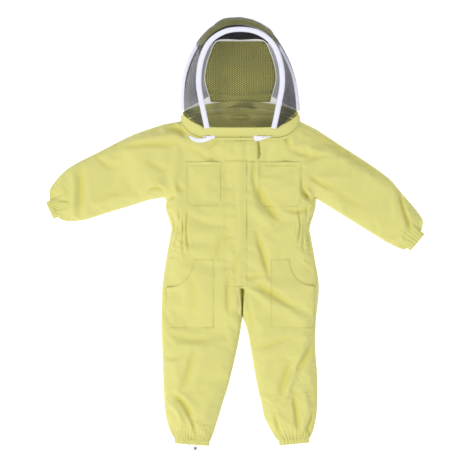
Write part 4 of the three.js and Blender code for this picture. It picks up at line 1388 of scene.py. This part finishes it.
def flap_base(points):
    """What the flaps lie on: the panels, the zip between them, and the fastening patches at the throat."""
    ground = garment.heights(points)
    over_zip = smoothstep((0.024 - np.abs(points[:, 0])) / 0.010) * (points[:, 1] > SLOT_BOTTOM)
    ground = ground * (1 - over_zip) + np.maximum(ground, CLOTH_TOP - 0.9 * MM) * over_zip
    pull_low, pull_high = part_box("main_zip_pull")
    path_low = Vector((pull_low.x, SLOT_BOTTOM, 0))
    for low, high, top, fall, spread in (
        (*HOOK_PATCH, HOOK_PATCH[1].z + 0.2 * MM, 4.2 * MM, 12 * MM),
        (path_low, pull_high, pull_high.z + 0.3 * MM, 2.5 * MM, 15 * MM),
        (pull_low, pull_high, pull_high.z + PULL_LIFT, 4.4 * MM, 20 * MM),
    ):
        away = np.hypot(
            np.maximum(np.maximum(low.x - points[:, 0], points[:, 0] - high.x), 0),
            np.maximum(np.maximum(low.y - points[:, 1], points[:, 1] - high.y), 0),
        )
        ground = np.maximum(ground, top - fall * smoothstep(away / spread) - (away > spread))
    return ground


def make_flap(name, node, waves, sewing, spare=0.0):
    """A flap sewn down along its left edge, with its rows of sewing."""
    low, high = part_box(node)
    left, right, bottom, top = low.x, high.x, low.y - spare, high.y + spare
    loop = [(left, top), (left, bottom), (right, bottom), (right, top)]

    def lift(points):
        free = smoothstep((points[:, 0] - left) / 0.03)
        wave = wander((x * 9, y * 14, 4.0) for x, y in points)
        return free * waves * np.clip(wave + 0.25, 0, 1) * MM

    flap = patch_mesh(name, loop, lambda points, gap: lift(points), edge_shade=0.12, base=flap_base)
    fit(flap, replaces=(node,))
    runs = []
    for row in sewing(left, right, bottom, top):
        run = Path(row, smooth=False).spaced(3 * MM)
        runs.append(np.column_stack([run, flap_base(run) + lift(run) + 0.95 * MM]))
    for piece in (flap, fit(stitched(name + "_stitches", runs))):
        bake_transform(piece)


def storm_sewing(left, right, bottom, top):
    lines = (left + 2.5 * MM, left + 8 * MM, right - 19.5 * MM)
    return [[(x, bottom + 2 * MM), (x, top - 2 * MM)] for x in lines]


def throat_sewing(left, right, bottom, top):
    rows = []
    for by in (2.5 * MM, 8 * MM):
        near, far, low, high = left + by, right - by, bottom + by, top - by
        rows += [[(near, low), (near, high)], [(near, low), (far, low)], [(far, low), (far, high)]]
    return [*rows, [(left + 3 * MM, top - 2.5 * MM), (right - 3 * MM, top - 2.5 * MM)]]


for side in ("right", "left"):
    make_chest_pocket(side)
    make_hip_pocket(side)
make_flap("storm_placket", "storm_flap", 1.6, storm_sewing)
make_flap("throat_cover", "throat_flap", 1.0, throat_sewing, spare=2.2 * MM)


# ---------- body seams ----------


def body_seams():
    """Top stitching along the armholes."""
    for side, x, top in (("right", -CHEST_HALF + 4 * MM, 16 * MM), ("left", CHEST_HALF - 4 * MM, 34 * MM)):
        run = seam_line([(x, ARMPIT + 12 * MM), (x, SHOULDER - top)], 0.1 * MM)
        leg_blend(fit(stitched(side + "_body_stitches", [run])))


body_seams()


# ---------- hood ----------


def mirrored(half, shared):
    rest = half[shared : len(half) - (1 if shared else 0)][::-1]
    return np.array([*half, *[(-x, y, z) for x, y, z in rest]], float)


TAPE_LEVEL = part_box("right_hood_slider")[1].z - 2 * MM
BAND_TOP = CLOTH_TOP + 21 * MM
HOOD_MIDDLE = np.array([0, 0.5, 0.05])
NECK_MIDDLE = np.array([0, 0.41, 0.02])


def zip_loop():
    z, y = TAPE_LEVEL / MM, ZIP_LEVEL / MM
    half = [(0, y, z), (-50, y, z), (-100, y, z), (-130, y, z), (-170, y + 17, z), (-195, y + 58, 26),
            (-160, y + 78, 8), (-85, y + 90, 4.6), (0, y + 96, 4.2)]
    return Path(mirrored(half, 1) * MM, closed=True)


def veil_loop():
    z, y = BAND_TOP / MM, ZIP_LEVEL / MM
    half = [(0, y + 31, z), (-48, y + 31, z), (-92, y + 32, z), (-118, y + 35, z - 2), (-154, y + 48, z - 8),
            (-190, y + 80, 38), (-154, y + 100, 12), (-84, y + 114, 5.6), (0, y + 121, 5)]
    return Path(mirrored(half, 1) * MM, closed=True)


def arch(half, apex):
    points = mirrored([*half, apex], 0)
    keep = [0] + [i for i in range(1, len(points)) if np.linalg.norm(points[i] - points[i - 1]) > 1]
    return Path(points[keep] * MM)


# The hoops' places, in millimetres.
HOOP_BASE = ZIP_LEVEL / MM + 42
FRONT_TOP = 676
REAR_FOOT = HOOP_BASE + 46
REAR_TOP = 702
REAR_RISE = (42, 86)
REAR_SKEW = 9 * MM
FRONT_LEAN = math.tan(math.radians(21))
REAR_TILT = math.radians(-50)


def front_height(y):
    return BAND_TOP / MM + (y - ZIP_LEVEL / MM - 31) * FRONT_LEAN


def rear_height(y):
    low, high = REAR_RISE
    return low + (y - REAR_FOOT) * (high - low) / (REAR_TOP - REAR_FOOT)


FRONT_ARCH = arch(
    [(x, y, front_height(y)) for x, y in
     ((-110, HOOP_BASE - 13), (-124, 425), (-137, 505), (-127, 582), (-98, 638), (-52, 668))],
    (0, FRONT_TOP, front_height(FRONT_TOP)),
)
REAR_ARCH = arch(
    [(x, y, rear_height(y)) for x, y in
     ((-191, REAR_FOOT), (-189, 460), (-177, 535), (-150, 602), (-109, 660), (-56, 691))],
    (0, REAR_TOP, REAR_RISE[1]),
)
REAR_ARCH.points[:, 0] -= REAR_SKEW * np.sin(np.pi * (REAR_ARCH.points[:, 1] - 0.414) / 0.576)
BACK_ARCH = arch([(-102, 462, 5), (-116, 515, 4), (-112, 560, 3), (-98, 605, 3), (-78, 642, 4)], (0, 645, 4))
FRONT_UP = np.array([0, -FRONT_LEAN, 1.0])
REAR_UP = np.array([0, -0.15, 1.0])


def hoop_frame(path, shares, up, tilt=0.0):
    """Places, sides and lifts along a hoop; the side points away from the hood's middle."""
    shares = np.asarray(shares, float)
    along = path.along(shares)
    flat = np.cross(up / np.linalg.norm(up), along)
    flat /= np.linalg.norm(flat, axis=-1, keepdims=True)
    lift = np.cross(along, flat)
    side = flat * math.cos(tilt) + lift * math.sin(tilt)
    return path.at(shares), side, np.cross(along, side)


def make_hoop(name, path, up, tilt, node, body, width=18 * MM):
    shares = np.linspace(0, 1, 150)
    places, sides, lifts = hoop_frame(path, shares, up, tilt)
    sway = wander((s * 9, 0, width * 90) for s in shares)
    places = places + sides * (sway * 0.8 * MM)[:, None]
    hoop = sweep(name, places, sides, lifts, lens(width, 4.8 * MM), HOOP_TAPE)
    fit(hoop, body, (node,))
    rows = []
    for sign in (-1, 1):
        edge = places + sides * sign * (width / 2 - 2.6 * MM) + lifts * 2.1 * MM
        rows.append(edge[2:-2])
    seams = stitched(name + "_stitches", rows, 3.4 * MM, 2.2 * MM, 0.35 * MM, HOOP_TAPE)
    fit(seams, body)


def make_band():
    """The cotton band that stands from the zip up to the veil's foot."""
    low = zip_loop()
    high = veil_loop()

    def at(u, v):
        foot = low.at(v) + np.array([0, 6.2 * MM, 1.3 * MM])
        rim = high.at(v)
        made = foot * (1 - u[:, None]) + rim * u[:, None]
        away = made - NECK_MIDDLE
        away[:, 2] = np.abs(away[:, 2])
        crease = wander((p[0] * 22, p[1] * 10, 2.0) for p in made) * 1.5 * MM
        return made + unit(away) * ((0.6 * MM + crease) * np.sin(np.pi * u))[:, None]

    band = grid_sheet("hood_collar", at, 10, 240, COTTON, (0.05, 1.1), around=True)
    face_up(band, NECK_MIDDLE)
    fit(thicken(band, 0.8 * MM), "hood", ("hood_band",))
    rows = []
    for share in (0.16, 0.9):
        run = at(np.full(300, share), np.linspace(0, 1, 300, endpoint=False))
        run = run + unit(run - NECK_MIDDLE) * 0.1 * MM
        rows.append(np.concatenate([run, run[:1]]))
    fit(stitched("hood_collar_stitches", rows), "hood")


def between(first, second, bulge, start, end, waves, seed, rise=0.0):
    """The mesh between two arches, bulged outwards or upwards and rippled with soft folds."""

    def at(u, v):
        share = start + (end - start) * v
        a, b = first(share), second(share)
        away = (a + b) / 2 - HOOD_MIDDLE
        away[:, 2] = 0
        away = unit(away) * (1 - rise) + np.array([0, 0, rise])
        made = a * (1 - u[:, None]) + b * u[:, None]
        bulge_here = bulge * np.sin(np.pi * v) ** 0.8 if rise == 0 and bulge else bulge
        fold = wander((s * 26, w * 2.2, seed) for s, w in zip(share, u))
        swell = bulge_here * 4 * u * (1 - u) + waves * fold * np.sin(np.pi * u)
        return made + away * swell[:, None]

    return at


def beside(path, up, out, lift=0.0, tilt=0.0):
    """The line that keeps beside a hoop, as a function of the share of its length."""

    def at(share):
        place, side, rise = hoop_frame(path, share, up, tilt)
        return place + side * out + rise * lift

    return at


OUT_FRONT = beside(FRONT_ARCH, FRONT_UP, 10.0 * MM)
IN_FRONT = beside(FRONT_ARCH, FRONT_UP, -8.6 * MM, 1.0 * MM)
UP_REAR = beside(REAR_ARCH, REAR_UP, -9.0 * MM, 0.0, REAR_TILT)
TOP_REAR = beside(REAR_ARCH, REAR_UP, 6.0 * MM, 3.0 * MM, REAR_TILT)
DOWN_REAR = beside(REAR_ARCH, REAR_UP, 0.0, -4.2 * MM, REAR_TILT)
CROWN_FROM = 0.37
# Where a net between the hoops stays with the rear one, and where it has come over to the front one. make_veil
# only checks that these are given, and then leaves the net on no body.
NET_TURN = Vector((0, HOOP_BASE * MM, 32 * MM))
NET_WAY = Vector((0, -0.261, 0.965))
SIDE_TURN = (NET_TURN - NET_WAY * 25 * MM, NET_TURN + NET_WAY * 35 * MM)
CROWN_TURN = (NET_TURN - NET_WAY * 25 * MM, NET_TURN + NET_WAY * 57 * MM)


def hang_between(piece):
    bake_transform(piece)


def make_veil(name, at, rows, columns, material, node, size, turn=None):
    veil = grid_sheet(name, at, rows, columns, material, size)
    face_up(veil, HOOD_MIDDLE)
    fit(veil, replaces=(node,))
    if turn:
        hang_between(veil)
    else:
        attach(veil, "front_hoop" if node == "front_veil" else "hood")


def make_veils():
    right = between(OUT_FRONT, UP_REAR, 10 * MM, 0.0, CROWN_FROM, 9 * MM, 1.0, 0.8)
    left = between(OUT_FRONT, UP_REAR, 10 * MM, 1 - CROWN_FROM, 1.0, 7 * MM, 5.0, 0.8)
    crown = between(OUT_FRONT, TOP_REAR, 21 * MM, CROWN_FROM - 0.07, 1.06 - CROWN_FROM, 5 * MM, 9.0)
    make_veil("right_side_net", right, 24, 80, SIDE_VEIL, "right_side_veil", (0.11, 0.36), SIDE_TURN)
    make_veil("left_side_net", left, 24, 80, SHADED_SIDE_VEIL, "left_side_veil", (0.11, 0.36), SIDE_TURN)
    make_veil("crown_net", crown, 24, 60, CROWN_VEIL, "crown_veil", (0.13, 0.34), CROWN_TURN)

    def back_edge(share):
        place = BACK_ARCH.at(share)
        away = place - HOOD_MIDDLE
        away[:, 2] = 0
        return place + unit(away) * 3 * MM

    rear = between(DOWN_REAR, back_edge, 0.0, 0.0, 1.0, 4 * MM, 13.0)
    make_veil("rear_net", rear, 10, 140, SIDE_VEIL, "rear_veil", (0.09, 0.9))
    # Under the crown, from the rear hoop down to the back panel, a near-black sheet paints the shadow in the
    # hood's hollow.
    fall = between(DOWN_REAR, back_edge, 0.0, CROWN_FROM - 0.04, 1.04 - CROWN_FROM, 5 * MM, 21.0)

    def shadow_sheet_at(u, v):
        return fall(0.98 * u, v) + np.array([0, 0, 1.5 * MM])

    inner = grid_sheet("crown_fall", shadow_sheet_at, 10, 60, CROWN_SHADE, (0.09, 0.3))
    fit(face_up(inner, HOOD_MIDDLE), "hood")

    def front(u, v):
        share = 0.005 + 0.47 * u
        a, b = IN_FRONT(share), IN_FRONT(1 - share)
        made = a * (1 - v[:, None]) + b * v[:, None]
        dome = 11 * MM * (1 - (2 * v - 1) ** 2) * np.sin(np.pi * np.clip(u, 0, 1)) ** 0.7
        crease = wander((p[0] * 7, p[1] * 7, 3.0) for p in made) * 1.5 * MM
        made[:, 2] += dome + crease * np.sin(np.pi * v) * np.sin(np.pi * u)
        return made

    make_veil("face_net", front, 40, 36, VEIL, "front_veil", (0.31, 0.26))
    cap_at = between(OUT_FRONT, TOP_REAR, 21 * MM, CROWN_FROM - 0.05, 1.04 - CROWN_FROM, 5 * MM, 9.0)

    def cap(u, v):
        return cap_at(0.12 + 0.78 * u, v) + np.array([0, -4 * MM, -2 * MM])

    crown_cap = grid_sheet("crown_cloth", cap, 16, 40, LINING, (0.12, 0.24))
    fit(thicken(face_up(crown_cap, HOOD_MIDDLE), 0.8 * MM), replaces=("crown_cap",))
    hang_between(crown_cap)


def make_back_panel():
    """The hood's cotton back, quilted with rows of small pads."""
    low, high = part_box("hood_back_panel")
    foot_y, top_y = low.y, high.y - 1 * MM

    def edges(u):
        share = 0.36 * np.clip((u - 0.12) / 0.88, 0, 1)
        a, b = BACK_ARCH.at(share), BACK_ARCH.at(1 - share)
        foot = smoothstep(1 - u / 0.14)[:, None]
        low_a = np.column_stack([np.full(len(u), -0.098), np.full(len(u), foot_y + 4 * MM)])
        low_b = low_a * [-1, 1]
        return a[:, :2] * (1 - foot) + low_a * foot, b[:, :2] * (1 - foot) + low_b * foot

    def at(u, v):
        a, b = edges(u)
        flat = a * (1 - v[:, None]) + b * v[:, None]
        swell = wander((x * 11, y * 11, 6.0) for x, y in flat)
        fold = np.exp(-(((flat[:, 1] - foot_y - 22 * MM - 0.9 * flat[:, 0] ** 2) / 0.008) ** 2)) * 6 * MM
        return np.column_stack([flat, 4.2 * MM + swell * 1.8 * MM + fold])

    # The panel is painted darker and its pads lighter: painted shade and painted highlight.
    panel = grid_sheet("vent_panel", at, 60, 50, SHADED_VENT_PANEL, (0.2, 0.22))
    fit(thicken(face_up(panel), 1.2 * MM), "hood", ("hood_back_panel",))
    pitch = 6.6 * MM
    grid = hex_points(np.array([foot_y + 12 * MM, -0.12]), np.array([top_y, 0.12]), pitch)[:, ::-1]
    share = np.linspace(0, 1, 60)
    side_x = np.interp(grid[:, 1], edges(share)[1][:, 1], edges(share)[1][:, 0])
    grid = grid[np.abs(grid[:, 0]) < side_x - 5 * MM]
    tree = BVHTree.FromObject(panel, bpy.context.evaluated_depsgraph_get())
    points = [tree.ray_cast(Vector((x, y, 1)), Vector((0, 0, -1)))[0] for x, y in grid]
    mesh = bpy.data.meshes.new("pad_places")
    mesh.from_pydata([tuple(p) for p in points if p is not None], [], [])
    host = add("pad_places", mesh)
    pads = grown(host, PADS, "vent_pads", LIT_VENT_PADS, Base=2.7 * MM, Top=2.0 * MM, Rise=2.0 * MM)
    fit(pads, "hood")


make_hoop("front_hoop_tape", FRONT_ARCH, FRONT_UP, 0.0, "front_hoop_casing", "front_hoop")
make_hoop("rear_hoop_tape", REAR_ARCH, REAR_UP, REAR_TILT, "rear_hoop_casing", "hood")
make_band()
make_veils()
make_back_panel()


# ---------- zips ----------


# The white ribbons below the collar, the right one sewn to the hood and the left one on its slider: the body
# that each rides, how far it rises along its length, and its points with its half width there, in millimetres.
RIBBONS = {
    "right": ("hood", 0, [(-172, 331.4, 1.2), (-160, 322, 4.6), (-146, 316, 6.2), (-128, 315, 6.6),
                          (-108, 319, 5.2), (-84, 328, 1.8)]),
    "left": ("left_hood_slider", 1.3, [(46, 320, 5.6), (58, 319, 5.4), (72, 322, 4.0), (88, 326, 2.4),
                                       (102, 329, 1.0)]),
}


def make_ribbon(side):
    body, rise, rows = RIBBONS[side]
    path = Path(np.array(rows) * MM)

    def at(u, v):
        place = path.at(u)
        way = unit(path.along(u)[:, :2])
        across = np.column_stack([-way[:, 1], way[:, 0]])
        plan = place[:, :2] + across * ((2 * v - 1) * place[:, 2])[:, None]
        curl = 0.2 * MM * np.sin(np.pi * v) * np.sin(np.pi * u)
        return np.column_stack([plan, TAPE_LEVEL + (2.05 + rise * u) * MM + curl])

    ribbon = grid_sheet(side + "_zip_ribbon", at, 40, 8, ZIP_TAPE, (0.09, 0.012))
    fit(thicken(face_up(ribbon), 0.7 * MM), body)


def make_zip_loop(name, node, body, sign):
    """One half of the hood's zip: its tape all round the neck and the teeth along the tape's edge."""
    path = zip_loop()

    def at(u, v):
        made = path.at(v)
        return made + np.column_stack([np.zeros(len(u)), sign * (0.9 + 10.4 * u) * MM, np.zeros(len(u))])

    tape = grid_sheet(name, at, 2, 260, DYED_TAPE, (0.011, 1.1), around=True)
    fit(thicken(face_up(tape), 0.7 * MM, 0.0), body, (node,))
    run = at(np.full(700, 0.03), np.linspace(0, 1, 700, endpoint=False))
    line = lines_object(name + "_line", [np.concatenate([run, run[:1]])])
    fit(grown(line, TEETH, name + "_teeth", DYED_NYLON, Pitch=2.2 * MM), body)


for side in RIBBONS:
    make_ribbon(side)
make_zip_loop("neck_tape", "neck_zip_tape", "trunk", -1)
make_zip_loop("hood_tape", "hood_zip_tape", "hood", 1)


# ---------- ankle drawcord ----------


CORD_THICKNESS = 2.6 * MM


def make_cord():
    """The drawcord's tail: out of the hem's back, round to the side and through its toggle."""
    limb = LIMB["right_leg"]
    start = limb.at(limb.length + 0.3 * MM, 8 * MM)
    run = [(0, 0, 2.2), (-0.3, 3.5, 2.6), (4, 8, 5.2), (10, 11, 6.4), (16, 12.6, 6.4), (22, 14.2, 6.4),
           (28, 15.8, 6.4), (34, 17.4, 6.4)]
    points = [(start[0] + x * MM, start[1] - y * MM, z * MM) for x, y, z in run]
    path = Path(points)
    cord = lines_object("drawcord", [path.spaced(1.5 * MM)])
    cord.data.bevel_depth = CORD_THICKNESS / 2
    cord.data.bevel_resolution = 3
    cord.data.use_fill_caps = True
    cord.data.materials.append(ELASTIC)
    fit(cord, "right_leg", ("ankle_cord",))


make_cord()


# ---------- finishes for the CAD pieces that stay ----------

FINISH = {
    "cotton": COTTON,
    "cotton_lining": LINING,
    "veil_mesh": VEIL,
    "hoop_tape": HOOP_TAPE,
    "spring_steel": STEEL,
    "elastic": ELASTIC,
    "zip_tape": DYED_TAPE,
    "nylon": NYLON,
    "hook_tape": HOOK,
    "toggle_plastic": TOGGLE,
}


def finish_nodes():
    """Gives every CAD piece that stays its material and a cloth layout."""
    slots = {part["node"]: part["material_slot"] for part in frame["record"]["subparts"]}
    for name, node in frame["nodes"].items():
        material = FINISH[slots[name]]
        if not node.data.materials:
            node.data.materials.append(material)
        for index in range(len(node.data.materials)):
            node.data.materials[index] = material
        if "cloth" not in node.data.uv_layers:
            layer = node.data.uv_layers.new(name="cloth")
            for loop in node.data.loops:
                layer.data[loop.index].uv = node.data.vertices[loop.vertex_index].co[:2]


finish_nodes()
